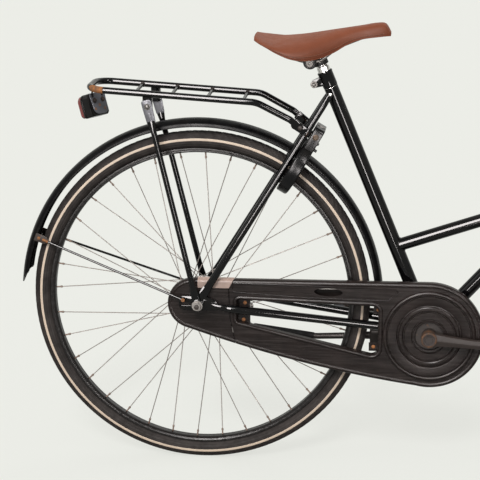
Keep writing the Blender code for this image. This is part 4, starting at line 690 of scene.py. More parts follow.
def tread_depth(degrees, step):
    """How far the tread is cut in at an angle from the crown and a step round the tyre.

    Three grooves run round each half. Between them are cross cuts, and fine ribs below them.
    """
    side = abs(degrees)
    if side > 62:
        return 0.0002 if step % 2 and side < 84 else 0.0
    for groove in (7.5, 19.0, 33.0):
        if abs(side - groove) < 1.6:
            return 0.0016
    phase = step + (1 if degrees > 0 else 0) + int(side / 11)
    if side > 19:
        return 0.0012 if phase % 3 == 0 else 0.0
    return 0.0009 if phase % 6 == 0 and side > 7.5 else 0.0


def tyre(end, centre):
    """The casing with its tread and two raised lines by the rim, and a stripe on each wall."""
    rings = []
    for step in range(TYRE_STEPS):
        way = rising(360 * step / TYRE_STEPS)
        ring = []
        for degrees in CASING_DEGREES:
            line = 0.0004 if 103 < abs(degrees) < 107 or 119 < abs(degrees) < 122 else 0.0
            proud = line - 0.0004 - tread_depth(degrees, step)
            radius, side = tyre_point(math.radians(degrees), proud)
            ring.append(centre + way * radius + SIDE * side)
        rings.append(ring)
    casing = grid(rings, wrap_ring=True, wrap_rows=True)
    piece(f"{end}_tyre_casing", casing, f"{end}_wheel", TYRE, f"{end}_tyre", sharp=30)
    for side, hand in HANDS:
        outer, inner = [], []
        for index in range(STRIPE_STEPS + 1):
            radius = STRIPE_RADII[0] + (STRIPE_RADII[1] - STRIPE_RADII[0]) * index / STRIPE_STEPS
            rise = (radius - TYRE_MIDDLE) / TYRE_MINOR * SHOULDER
            angle = math.acos(max(-1.0, min(1.0, rise)))
            edge = 0.00012 if index in (0, STRIPE_STEPS) else 0.0
            outer.append(tyre_point(angle, 0.00025 - edge))
            inner.append(tyre_point(angle, -0.0008))
        profile = [(radius, side * reach) for radius, reach in outer + inner[::-1]]
        band = turned(profile, centre, SIDE, 180, closed=True)
        piece(f"{end}_{hand}_tyre_stripe", band, f"{end}_wheel", STRIPE)


def both_sides(half):
    """A section given from one side to the middle, carried on to the other side."""
    return half + [(radius, -y) for radius, y in reversed(half[:-1])]


def rim(end, centre):
    """The rolled hoop, from its outer edge to the middle of its bed."""
    half = [
        (0.3146, -0.0100), (0.3146, -0.0125), (0.3140, -0.0133), (0.3122, -0.0135), (0.3104, -0.0135),
        (0.3098, -0.0131), (0.3092, -0.0129), (0.3084, -0.0131), (0.3076, -0.0127), (0.3062, -0.0108),
        (0.3050, -0.0086), (0.3044, -0.0064), (0.3043, -0.0040), (0.3046, -0.0022), (0.3047, 0.0),
    ]
    hoop = turned(both_sides(half), centre, SIDE, 216, closed=True)
    piece(f"{end}_rim_hoop", hoop, f"{end}_wheel", RIM_ENAMEL, f"{end}_rim", sharp=25)


def lacing(centre, flange_radius, half_span):
    """Each spoke's hole, its side, its lean and its nipple's angle; the spokes cross three times."""
    for index in range(SPOKE_COUNT):
        nipple = FIRST_NIPPLE - 360 / SPOKE_COUNT * index
        side = RIGHT if index % 2 == 0 else LEFT
        lean = -1 if index % 4 in (0, 3) else 1
        out = rising(nipple + lean * SPOKE_LEAN) * (flange_radius - FLANGE_INSET)
        yield centre + out + SIDE * side * half_span, side, lean, nipple


def spokes(end, centre, flange_radius, half_span):
    """Wires with a bend and a head at the hub, and their nipples at the rim."""
    wires, nipples = Shape(), Shape()
    for hole, side, lean, nipple in lacing(centre, flange_radius, half_span):
        seat = centre + rising(nipple) * NIPPLE_SEAT + SIDE * side * 0.0022
        start = hole + SIDE * lean * 0.0018
        head = hole - SIDE * lean * 0.0024
        way = (seat - start).normalized()
        path = [head, hole, start - SIDE * lean * 0.0004, start + way * 0.0010, start + way * 0.02, seat]
        wires.add(swept(path, SPOKE_RADIUS, 8))
        wires.add(rod(head - SIDE * lean * 0.0008, head + SIDE * lean * 0.0004, 0.0018, 10))
        nipples.add(turned(NIPPLE_SECTION, seat, way, 10))
    piece(f"{end}_spokes", wires, f"{end}_wheel", SPOKE_STEEL)
    piece(f"{end}_nipples", nipples, f"{end}_wheel", NIPPLE)


def hub(end, centre, flange_radius, half_span, barrel, half_length):
    """A barrel with two flanges, a lip outside each and a band inside each."""
    lip, rim_edge = flange_radius * 0.62, flange_radius - 0.001
    half = [
        (0.0056, half_length), (0.0100, half_length), (0.0108, half_length - 0.0006),
        (0.0112, half_span + 0.0042), (lip * 0.9, half_span + 0.0030), (lip, half_span + 0.0016),
        (rim_edge, half_span + 0.0015), (flange_radius, half_span + 0.0008),
        (flange_radius, half_span - 0.0008), (rim_edge, half_span - 0.0015),
        (barrel + 0.004, half_span - 0.0018), (barrel + 0.0012, half_span - 0.0040),
        (barrel, half_span - 0.0080), (barrel, 0.004), (barrel + 0.0006, 0.003), (barrel + 0.0006, 0.0),
    ]
    shape = Shape().add(turned(both_sides(half), centre, SIDE, 64, closed=True))
    low, high = barrel - 0.001, barrel + 0.0009
    for side in (RIGHT, LEFT):
        middle = centre + SIDE * side * (half_span - 0.0105)
        band = [(low, -0.002), (high, -0.001), (high, 0.001), (low, 0.002)]
        shape.add(turned(band, middle, SIDE, 64, closed=True))
    piece(f"{end}_hub_shell", shape, f"{end}_wheel", DULL_STEEL, f"{end}_hub_and_spokes", sharp=40)


for end, centre, flange, span, barrel, half in (
    ("rear", REAR, 0.037, 0.0265, 0.0230, 0.0300),
    ("front", FRONT, 0.021, 0.033, 0.0125, 0.0400),
):
    tyre(end, centre)
    rim(end, centre)
    hub(end, centre, flange, span, barrel, half)
    spokes(end, centre, flange, span)


def axle(name, centre, body, half_length, nut_from, cone_from, cone_to):
    """A threaded axle with its cones, washers and domed hexagon nuts."""
    shape = Shape()
    core = SIDE * (half_length - 0.004)
    washer = 0.0016
    shape.add(rod(centre - core, centre + core, 0.0045, 20), 1)
    for side in (RIGHT, LEFT):
        way = SIDE * side
        shape.add(thread(centre + way * (nut_from + 0.006), way, 0.0047, half_length - nut_from - 0.006), 1)
        shape.add(turned(collar(0.004, 0.0110, 0, washer, 0.0002, 0.0003), centre + way * nut_from, way, 40))
        shape.add(hexagon(centre + way * (nut_from + washer), way, 0.0149, 0.0072))
        shape.add(rod(centre + way * cone_from, centre + way * cone_to, 0.0079, 28, 0.0006))
    piece(f"{name}_with_nuts", shape, body, [DULL_STEEL, DARK_RUST], name)


axle("rear_axle", REAR, "frame", half_length=0.0850, nut_from=0.0715, cone_from=0.0523, cone_to=0.0551)
axle("front_axle", FRONT, "fork_body", half_length=0.0660, nut_from=0.0533, cone_from=0.0404, cone_to=0.0478)


# Mudguards

GUARD_CROWN, GUARD_SKIRT, GUARD_HALF = 0.3745, 0.3590, 0.0245
GUARD_SECTION_STEPS, GUARD_BEAD_STEPS = 32, 10


def guard_section():
    """The sheet's outline, over the crown from one rolled edge to the other and back inside."""
    outer, inner = [], []
    for index in range(GUARD_SECTION_STEPS + 1):
        angle = math.radians(90 - 180 * index / GUARD_SECTION_STEPS)
        lift = math.cos(angle) ** 0.85 if math.cos(angle) > 1e-6 else 0.0
        y = math.sin(angle)
        depth = GUARD_SKIRT + 0.0016 + (GUARD_CROWN - GUARD_SKIRT - 0.0016) * lift
        outer.append((depth, (GUARD_HALF - 0.0004) * y))
        inner.append((depth - 0.0010 * lift - 0.0002, (GUARD_HALF - 0.0014) * y))
    return outer + inner[::-1]


def guard_bead(y):
    """The rolled edge's section, round the skirt's end."""
    found = []
    for index in range(GUARD_BEAD_STEPS):
        angle = math.tau * index / GUARD_BEAD_STEPS
        found.append((GUARD_SKIRT + 0.0014 + 0.0014 * math.cos(angle), y + 0.0013 * math.sin(angle)))
    return found


def mudguard(centre, start, end, tongue, segments):
    """A domed strip round the wheel; its tail's skirts are cut back by tongue degrees."""
    section = guard_section()
    rings = []
    for index in range(segments + 1):
        share = index / segments
        ring = []
        for radius, y in section:
            last = end - tongue * min(1.0, abs(y) / GUARD_HALF) ** 2
            ring.append(centre + rising(start + (last - start) * share) * radius + SIDE * y)
        rings.append(ring)
    shape = Shape().add(grid(rings))
    for side in (RIGHT, LEFT):
        bead = guard_bead(side * (GUARD_HALF - 0.0013))
        rings = []
        for index in range(segments + 1):
            angle = start + (end - tongue - start) * index / segments
            rings.append([centre + rising(angle) * radius + SIDE * y for radius, y in bead])
        shape.add(grid(rings))
    return shape


for end, body, made in (
    ("rear", "frame", mudguard(REAR, start=-3.2, end=176.8, tongue=4.6, segments=150)),
    ("front", "fork_body", mudguard(FRONT, start=74.0, end=214.0, tongue=4.0, segments=120)),
):
    piece(f"{end}_mudguard_sheet", made, body, GUARD_ENAMEL, f"{end}_mudguard", sharp=50)


# Frame tubes

WELD_STEPS = 48


def weld(shape, path_start, way, radius, other_point, other_way, other_radius, size):
    """A small bead where a tube meets the side of a bigger one.

    Each point of the tube's rim moves along the tube until it lies on the other one's surface.
    """
    way, other_way = way.normalized(), other_way.normalized()
    first = way.orthogonal().normalized()
    second = way.cross(first)
    line = []
    for step in range(WELD_STEPS):
        angle = math.tau * step / WELD_STEPS
        start = path_start + (first * math.cos(angle) + second * math.sin(angle)) * radius
        offset = start - other_point
        flat_way = way - other_way * way.dot(other_way)
        flat_offset = offset - other_way * offset.dot(other_way)
        a = flat_way.length_squared
        b = 2 * flat_way.dot(flat_offset)
        c = flat_offset.length_squared - other_radius**2
        inside = b * b - 4 * a * c
        if inside < 0:
            return
        line.append(start + way * (-b + math.sqrt(inside)) / (2 * a))
    shape.add(swept(line, size, 8, loop=True))


barrel = turned(collar(0.0178, SHELL_RADIUS, 0.0340, -0.0340, 0.0009), BB, SIDE, 64, closed=True)
piece("bottom_bracket_barrel", barrel, "frame", ENAMEL, "bottom_bracket_shell")

TUBE_START = 0.0185
BORE_RADIUS = 0.0132
seat_bar = swept(spread([BB + SEAT_DIR * TUBE_START, SEAT_TOP - SEAT_DIR * 0.0345], 0.03), SEAT_TUBE, 40)
seat_bore = cylinder(BB, SEAT_DIR, BORE_RADIUS, 0.20, 0.62)
seat_line = Shape().add(carved(seat_bar, [("DIFFERENCE", seat_bore)]))
weld(seat_line, BB, SEAT_DIR, SEAT_TUBE, BB, SIDE, SHELL_RADIUS, 0.0020)
piece("seat_tube_line", seat_line, "frame", ENAMEL, "seat_tube")

down_end = HEAD_BOTTOM + HEAD_DIR * 0.045
down_way = (down_end - BB).normalized()
down_path = spread([BB + down_way * TUBE_START, down_end - down_way * 0.0165], 0.03)
down = Shape().add(swept(down_path, SEAT_TUBE, 40))
weld(down, BB, down_way, SEAT_TUBE, BB, SIDE, SHELL_RADIUS, 0.0020)
weld(down, down_end, -down_way, SEAT_TUBE, down_end, HEAD_DIR, HEAD_TUBE, 0.0020)
piece("down_tube_line", down, "frame", ENAMEL, "down_tube")

# The upper tube leaves the seat tube low, bends once and ends steep at the head tube.
upper_start = BB + SEAT_DIR * 0.188
upper_end = HEAD_BOTTOM + HEAD_DIR * 0.127
low_way, high_way = rising(18.9), rising(54.0)
reach = upper_end - upper_start
knee = (reach.x * high_way.z - reach.z * high_way.x) / (low_way.x * high_way.z - low_way.z * high_way.x)
upper_path = rounded(
    [upper_start + low_way * 0.008, upper_start + low_way * knee, upper_end - high_way * 0.012], [0.20], 2
)
upper = Shape().add(swept(upper_path, UPPER_TUBE, 36))
weld(upper, upper_start, low_way, UPPER_TUBE, upper_start, SEAT_DIR, SEAT_TUBE, 0.0018)
weld(upper, upper_end, -high_way, UPPER_TUBE, upper_end, HEAD_DIR, HEAD_TUBE, 0.0018)
piece("upper_tube_line", upper, "frame", ENAMEL, "upper_tube")

# The head tube is a little thicker at both ends; this is its lower end, outward and up.
head_end = [
    (0.0155, 0), (0.0188, 0), (0.0190, 0.0008), (0.0190, 0.0100), (0.0184, 0.0112), (HEAD_TUBE, 0.0118),
]
head_section = head_end + [(radius, HEAD_TUBE_LENGTH - height) for radius, height in reversed(head_end)]
head = turned(head_section, HEAD_BOTTOM, HEAD_DIR, 56, closed=True)
piece("head_tube_line", head, "frame", ENAMEL, "head_tube")


def axle_hole(centre):
    """A hole's outline for the axle."""
    return arc(centre, AXLE_HOLE, 360, 15, 23)


def chainstay_point(x, side):
    """A point on the straight run of a chainstay, x ahead of the rear axle."""
    rear = at(0.075, side * 0.0596, TYRE_RADIUS - 0.0085)
    waist = BB + Vector((-0.100, side * 0.0318, 0.0125))
    return rear + (waist - rear) * (REAR.x + x - rear.x) / (waist.x - rear.x)


def chainstay(side, hand):
    """A tube that is pressed flat and narrow at the rear, with a plate that has two open slots."""
    y = side * 0.058
    straight = [chainstay_point(x, side) for x in (0.075, 0.14, 0.22, 0.30, 0.3697)]
    path = curved([
        at(0.026, y, TYRE_RADIUS - 0.002), at(0.048, side * 0.0588, TYRE_RADIUS - 0.0052), *straight,
        BB + Vector((-0.052, side * 0.0285, 0.0066)), BB + Vector((-0.0185, side * 0.0252, 0.0020)),
    ], 6)
    scale = []
    for index in range(len(path)):
        share = index / (len(path) - 1)
        wide = 0.62 + 0.38 * min(1.0, share * 3)
        scale.append((wide, wide * (0.55 + 0.45 * min(1.0, share * 5))))
    shape = Shape().add(swept(path, 0.0085, 24, scale, up=UP))
    end = corners(
        [(REAR.x + 0.040, 0.336), (REAR.x + 0.040, 0.354), (REAR.x + 0.018, 0.3645), (REAR.x - 0.038, 0.3645),
         (REAR.x - 0.038, 0.335)],
        [0.004, 0.008, 0.008, 0.008, 0.008],
    )
    slot = arc(REAR, AXLE_HOLE, 90, -90, 12) + arc(REAR + Vector((-0.034, 0, 0)), 0.0051, 270, 90, 12)
    shape.add(plate([end, slot], 0.0050, y, 0.0006))
    piece(f"{hand}_chainstay_line", shape, "frame", ENAMEL, f"{hand}_chainstay")


def pressed_tube(foot, way, radius, stations):
    """A straight tube squeezed along its length: (distance, thickness, width) at each station."""
    path = [foot + way * distance for distance, thick, wide in stations]
    return swept(path, radius, 28, [(thick, wide) for distance, thick, wide in stations], up=SIDE)


def stay_ends(side):
    """A seat stay's foot and top."""
    foot = REAR + Vector((0.001, side * 0.0650, 0.004))
    return foot, BB + SEAT_DIR * 0.525 + Vector((-0.006, side * 0.0245, 0))


def stay_point(height, side):
    """A point on a seat stay's centre line at a height above the floor."""
    foot, top = stay_ends(side)
    return foot + (top - foot) * (height - foot.z) / (top.z - foot.z)


def seat_stay(side, hand):
    """A tube pressed flat at both ends, with an eye round the axle and a pin at its top."""
    foot, top = stay_ends(side)
    way = (top - foot).normalized()
    length = (top - foot).length
    shape = Shape().add(pressed_tube(foot, way, 0.0075, (
        (0.018, 0.34, 1.10), (0.030, 0.40, 1.10), (0.045, 0.80, 1.04), (0.060, 1.0, 1.0),
        (length * 0.35, 1.0, 1.0), (length * 0.65, 1.0, 1.0), (length - 0.030, 1.0, 1.0),
        (length - 0.018, 0.86, 0.95), (length - 0.006, 0.62, 0.86), (length + 0.004, 0.40, 0.72),
    )))
    eye = arc(REAR + Vector((0.001, 0, 0.002)), EYE_RADIUS, 170, 400, 22)
    eye += [(REAR.x + 0.027, 0.380), (REAR.x + 0.012, 0.388)]
    hole = arc(REAR, AXLE_HOLE, 360, 0, 24)[:-1]
    shape.add(plate([eye, hole], 0.0035, side * 0.0628, 0.0006))
    pin = top + way * 0.002 + SIDE * side * 0.0030
    shape.add(domed_bolt(pin, SIDE * side, 0.0035, 0.0022), 1)
    piece(f"{hand}_seat_stay_line", shape, "frame", [ENAMEL, CHROME], f"{hand}_seat_stay")


for side, hand in HANDS:
    chainstay(side, hand)
    seat_stay(side, hand)


# Chain case

# Distances from the middle plane of the outer face, the back and the joint between the two halves.
CASE_FACE, CASE_BACK, CASE_SPLIT = 0.0515, 0.0340, 0.0430
CASE_WALL = 0.0018
CASE_REAR = REAR + Vector((-0.011, 0, -0.0025))
CASE_REAR_RADIUS, CASE_FRONT_RADIUS = 0.053, 0.110
CASE_SAG, SAG_STEPS = 0.012, 24
CASE_BEAD, CASE_CREASE, CASE_LIP, CASE_BACK_EDGE = 0.0060, 0.0009, 0.0040, 0.0021
CASE_SEAM = ((0.0744, 0.4005), (0.0626, 0.3820), (0.0655, 0.3163), (0.0778, 0.2599))
WINDOW_REAR, WINDOW_FRONT, INNER_WINDOW = 0.079, 0.103, 0.105
WINDOW_PROUD = 0.0014
FAR = 1.0


def belt(rear, rear_radius, front, front_radius, rear_count, front_count, sag=0.0):
    """The outline round two circles, with its lower run bowed down by sag."""
    span = front - rear
    slope = math.degrees(math.atan2(span.z, span.x))
    lean = math.degrees(math.asin((front_radius - rear_radius) / span.length))
    top, bottom = slope + lean + 90, slope - lean - 90
    outline = arc(front, front_radius, bottom, top, front_count)
    outline += arc(rear, rear_radius, top, bottom + 360, rear_count)
    if sag:
        last, first = outline[-1], outline[0]
        for step in range(1, SAG_STEPS):
            share = step / SAG_STEPS
            drop = 4 * sag * share * (1 - share)
            x, z = (last[axis] + (first[axis] - last[axis]) * share for axis in (0, 1))
            outline.append((x, z - drop))
    return outline


def case_edge(inset):
    """The case's outline from the side, drawn in by inset."""
    return belt(CASE_REAR, CASE_REAR_RADIUS - inset, BB, CASE_FRONT_RADIUS - inset, 40, 72, CASE_SAG)


def case_lower_edge(x):
    """Height of the case's lower run above the floor."""
    span = BB - CASE_REAR
    angle = math.atan2(span.z, span.x) - math.asin((CASE_FRONT_RADIUS - CASE_REAR_RADIUS) / span.length)
    touch = CASE_REAR + Vector((math.sin(angle), 0, -math.cos(angle))) * CASE_REAR_RADIUS
    share = (x - touch.x) / (BB.x + CASE_FRONT_RADIUS * math.sin(angle) - touch.x)
    return touch.z + math.tan(angle) * (x - touch.x) - 4 * CASE_SAG * share * (1 - share)


def case_upper_edge(x):
    """Height of the case's upper run above the floor."""
    share = (x - CASE_REAR.x) / (BB.x - CASE_REAR.x)
    rear_top = CASE_REAR.z + CASE_REAR_RADIUS
    return rear_top + (BB.z + CASE_FRONT_RADIUS - rear_top) * share


def case_window(grow, rear=WINDOW_REAR):
    """The opening round the chainstay, between the chain's two runs."""
    back, front = REAR.x + rear - grow, BB.x - WINDOW_FRONT + grow
    points = [
        (back, case_upper_edge(back) - 0.0420 + grow), (back, case_lower_edge(back) + 0.0495 - grow),
        (front, case_lower_edge(front) + 0.0480 - grow), (front, case_upper_edge(front) - 0.0504 + grow),
    ]
    soft = max(grow, 0)
    return corners(points, [0.005 + soft, 0.005 + soft, 0.014 + soft, 0.012 + soft], 8)


def quarter(radius):
    """A rounded edge as (inset, depth), from the face to the side."""
    turns = [math.radians(15 * index) for index in range(7)]
    return [(radius * (1 - math.sin(turn)), radius * (1 - math.cos(turn))) for turn in turns]


def case_block():
    """The moulding as a solid: a rounded bead round the edge, and a crease inside it."""
    levels = [(0.0094, CASE_CREASE), (0.0086, CASE_CREASE), (0.0076, 0.0004), (0.0068, 0.0001)]
    levels = [(inset, -CASE_FACE + depth) for inset, depth in levels + quarter(CASE_BEAD)]
    for inset, proud in ((0, CASE_BACK_EDGE), (0.0006, 0.0006), (CASE_BACK_EDGE, 0), (0.0030, 0)):
        levels.append((inset, -CASE_BACK - proud))
    return lofted([(case_edge(inset), y) for inset, y in levels])


def window_bead():
    """The raised frame round the window, before the opening is cut."""
    return lofted([(case_window(grow), -CASE_FACE - proud) for grow, proud in (
        (0.0092, -0.0016), (0.0088, -0.0004), (0.0078, 0.0006), (0.0064, 0.0012), (0.0050, WINDOW_PROUD),
        (CASE_LIP, WINDOW_PROUD),
    )])


def window_opening():
    """The cutter for the window, which leaves a rounded lip."""
    top = -CASE_FACE - WINDOW_PROUD
    levels = [(CASE_LIP, -0.010)] + quarter(CASE_LIP)
    levels = [(case_window(grow), top + depth) for grow, depth in levels]
    return lofted(levels + [(case_window(0), -CASE_BACK + 0.010)])


def case_hollow(window_rear, face, way, edge, end):
    """The room inside the moulding, which leaves its walls."""
    soft = edge - CASE_WALL
    hollow = lofted([
        (case_edge(CASE_WALL + soft * inset), face + way * (CASE_WALL + soft * depth))
        for inset, depth in ((1.0, 0.0), (0.3, 0.3), (0.0, 1.0))
    ] + [(case_edge(CASE_WALL), end)])
    if window_rear is None:
        return hollow
    grown = case_window(CASE_WALL + CASE_LIP * 0.6, window_rear)
    return carved(hollow, [("DIFFERENCE", prism(grown, -0.07, -0.01))])


def behind_seam(ahead):
    """Everything behind the joint with the tail cover, or behind a line that far ahead of it."""
    line = [(REAR.x + x + ahead, z) for x, z in CASE_SEAM]
    outline = [(REAR.x - 0.2, 1.0), (line[0][0], 1.0)] + line + [(line[-1][0], 0.0), (REAR.x - 0.2, 0.0)]
    return prism(outline, -0.2, 0.2)


def side_bar(centre, radius):
    """A long cutter across the bicycle."""
    return cylinder(centre, SIDE, radius, -FAR, FAR, 56)


def case_disc():
    """The concentric bands round the crank's opening: (radius, height above the face)."""
    outer = [
        (0.0280, 0.0006), (0.0290, 0.0018), (0.0326, 0.0020), (0.0338, 0.0002), (0.0352, 0.0002),
        (0.0364, 0.0016), (0.0498, 0.0016), (0.0508, 0.0000), (0.0526, 0.0000), (0.0538, 0.0032),
        (0.0556, 0.0042), (0.0600, 0.0042), (0.0618, 0.0032), (0.0628, 0.0004), (0.0646, 0.0002),
        (0.0662, 0.0026), (0.0684, 0.0030), (0.0832, 0.0030), (0.0842, 0.0004), (0.0856, 0.0004),
        (0.0868, 0.0036), (0.0884, 0.0043), (0.0908, 0.0043), (0.0926, 0.0034), (0.0938, 0.0010),
        (0.0942, -0.0012),
    ]
    profile = [(radius, -CASE_FACE - height) for radius, height in outer]
    profile += [(0.0942, -CASE_FACE + 0.0016), (0.0280, -CASE_FACE + 0.0016)]
    return turned(profile, BB, SIDE, 96, closed=True)


def case_oval():
    """The shallow oval recess in the upper arm."""
    middle_x, middle_z = REAR.x + 0.2647, 0.3787
    oval, small = [], []
    for x, z in arc((middle_x, 0, middle_z), 0.0290, 0, 352.5, 47):
        z = middle_z + (z - middle_z) * 0.30 - (x - middle_x) * 0.02
        oval.append((x, z))
        small.append((middle_x + (x - middle_x) * 0.93, middle_z + (z - middle_z) * 0.86))
    return lofted([(oval, -CASE_FACE - 0.004), (oval, -CASE_FACE + 0.0014), (small, -CASE_FACE + 0.0030)])


def case_panel_outline():
    """The sunk panel that runs along the upper arm."""
    points = [(REAR.x + x, z) for x, z in (
        (0.0700, 0.3928), (0.0700, 0.3745), (0.2072, 0.3668), (0.3850, 0.3650), (0.4070, 0.3850),
        (0.3985, 0.3895),
    )]
    return corners(points, [0.003, 0.003, 0.060, 0.006, 0.004, 0.007], 5)


def case_panel_rim():
    """The thin raised line round the sunk panel."""
    path = [Vector((x, -CASE_FACE + 0.0003, z)) for x, z in case_panel_outline()]
    return swept(path, 0.0012, 8, loop=True)


def case_panel():
    """The cutter that sinks the panel."""
    outline = case_panel_outline()
    middle = Vector((REAR.x + 0.235, 0.380))
    small = [tuple(middle + (Vector(point) - middle) * 0.994) for point in outline]
    face = -CASE_FACE
    return lofted([(outline, face - 0.006), (outline, face + 0.0009), (small, face + 0.0015)])


outer = carved(case_block(), [
    ("DIFFERENCE", block((-FAR, -CASE_SPLIT, -FAR), (FAR, FAR, FAR))),
    ("DIFFERENCE", behind_seam(0.0)),
    ("DIFFERENCE", case_hollow(WINDOW_REAR, -CASE_FACE, 1, CASE_BEAD + 0.0008, -0.020)),
    ("DIFFERENCE", case_panel()),
    ("DIFFERENCE", case_oval()),
    ("UNION", case_panel_rim()),
    ("UNION", window_bead()),
    ("UNION", case_disc()),
    ("DIFFERENCE", window_opening()),
    ("DIFFERENCE", side_bar(BB, 0.0285)),
])
piece("chain_case_outer_shell", outer, "frame", MOULDING, "chain_case_outer", sharp=28)

# The chainstay passes through the back half in a slot.
slot_rear = BB.x - WINDOW_FRONT - 0.02
stay_slot = corners(
    [(slot_rear, BB.z + 0.001), (slot_rear, BB.z + 0.027), (BB.x, BB.z + 0.015), (BB.x, BB.z - 0.013)],
    [0.002] * 4, 4,
)
inner = carved(case_block(), [
    ("DIFFERENCE", block((-FAR, -FAR, -FAR), (FAR, -CASE_SPLIT + 0.0003, FAR))),
    ("DIFFERENCE", behind_seam(0.0)),
    ("DIFFERENCE", case_hollow(INNER_WINDOW, -CASE_BACK, -1, CASE_BACK_EDGE, -0.060)),
    ("DIFFERENCE", prism(case_window(0.0, INNER_WINDOW), -0.07, -0.01)),
    ("DIFFERENCE", side_bar(BB, 0.0235)),
    ("DIFFERENCE", prism(stay_slot, -0.055, -0.010)),
])
inner_shape = Shape().add(inner)
# Four tabs with rusty screws look through the window: x, z and which way each tab points.
for x, z, way in ((0.0945, 0.3484, 1), (0.0915, 0.3125, 1), (0.3659, 0.3416, -1), (0.3570, 0.2631, -1)):
    back, front = sorted((REAR.x + x - way * 0.0110, REAR.x + x + way * 0.0095))
    cut_back, cut_front = sorted((REAR.x + x - way * 0.020, REAR.x + x - way * 0.007))
    cut = block((cut_back, -0.0368, z - 0.0060), (cut_front, -0.030, z + 0.0060))
    tab = block((back, -0.0385, z - 0.0090), (front, -0.0362, z + 0.0085))
    inner_shape.add(carved(tab, [("DIFFERENCE", cut)]))
    inner_shape.add(domed_bolt(at(x, -0.0384, z), -SIDE, 0.0040, 0.0020), 1)
piece("chain_case_inner_shell", inner_shape, "frame", [MOULDING, ORANGE_RUST], "chain_case_inner", sharp=28)

cover = carved(case_block(), [
    ("INTERSECT", behind_seam(-0.0016)),
    ("DIFFERENCE", case_hollow(None, -CASE_FACE, 1, CASE_BEAD + 0.0008, -(CASE_BACK + CASE_WALL))),
    ("DIFFERENCE", side_bar(REAR, 0.0090)),
    ("DIFFERENCE", cylinder(REAR - SIDE * 0.040, SIDE, 0.0260, 0, FAR, 56)),
])
piece("chain_case_tail_cover", cover, "frame", MOULDING, "chain_case_rear_cover", sharp=28)


PATCH_LIFT, PATCH_THICKNESS = 0.0003, 0.0008
PATCH_ROWS, PATCH_COLUMNS = 24, 12
PATCH_TOP, PATCH_CURVE, PATCH_FACE = 0.0115, 0.0094, 0.0118


def patch_point(x, share):
    """A point just off the case's upper edge: share 0 at its back, 1 at the foot of the patch."""
    top = case_upper_edge(x)
    bead_y = -CASE_FACE + CASE_BEAD
    along = share * (PATCH_TOP + PATCH_CURVE + PATCH_FACE)
    if along < PATCH_TOP:
        return Vector((x, bead_y + PATCH_TOP - along, top + PATCH_LIFT))
    along -= PATCH_TOP
    if along < PATCH_CURVE:
        turn = math.pi / 2 * along / PATCH_CURVE
        reach = CASE_BEAD + PATCH_LIFT
        return Vector((x, bead_y - reach * math.sin(turn), top - CASE_BEAD + reach * math.cos(turn)))
    return Vector((x, -CASE_FACE - PATCH_LIFT, top - CASE_BEAD - (along - PATCH_CURVE)))


def reflecting_patch():
    """A pale foil over the case's upper edge, thickened inward."""
    rings = []
    for row in range(PATCH_ROWS + 1):
        share = row / PATCH_ROWS
        start = at(-0.0015, 0, 0).x
        width = REAR.x + 0.0722 - 0.0098 * max(0.0, share - 0.4) / 0.6 - start
        line = [patch_point(start + width * step / PATCH_COLUMNS, share) for step in range(PATCH_COLUMNS + 1)]
        inward = -Vector((0, -0.2, 0.8)).normalized() if row < PATCH_ROWS / 2 else SIDE
        rings.append(line + [point + inward * PATCH_THICKNESS for point in reversed(line)])
    return grid(rings)


piece("reflecting_patch", reflecting_patch(), "frame", PATCH, sharp=50)


# Drive


CRANK_LENGTH, CRANK_DEGREES, CRANK_INNER, CRANK_THICKNESS = 0.170, -5.1, 0.0660, 0.0125
CRANK_STATIONS = (
    # along the arm, half width, height of its ridge
    (0.000, 0.0135, 1.00), (0.012, 0.0138, 1.00), (0.022, 0.0128, 0.98), (0.036, 0.0115, 0.95),
    (0.055, 0.0103, 0.93), (0.080, 0.0093, 0.92), (0.105, 0.0087, 0.92), (0.130, 0.0086, 0.92),
    (0.146, 0.0094, 0.94), (0.156, 0.0108, 0.97), (0.166, 0.0112, 1.00),
)
# Half of the arm's section, as shares of its width and thickness.
CRANK_SECTION = ((0.0, 1.0), (0.12, 0.985), (0.45, 0.84), (0.86, 0.74), (1.0, 0.55), (1.0, 0.12), (0.80, 0.0))


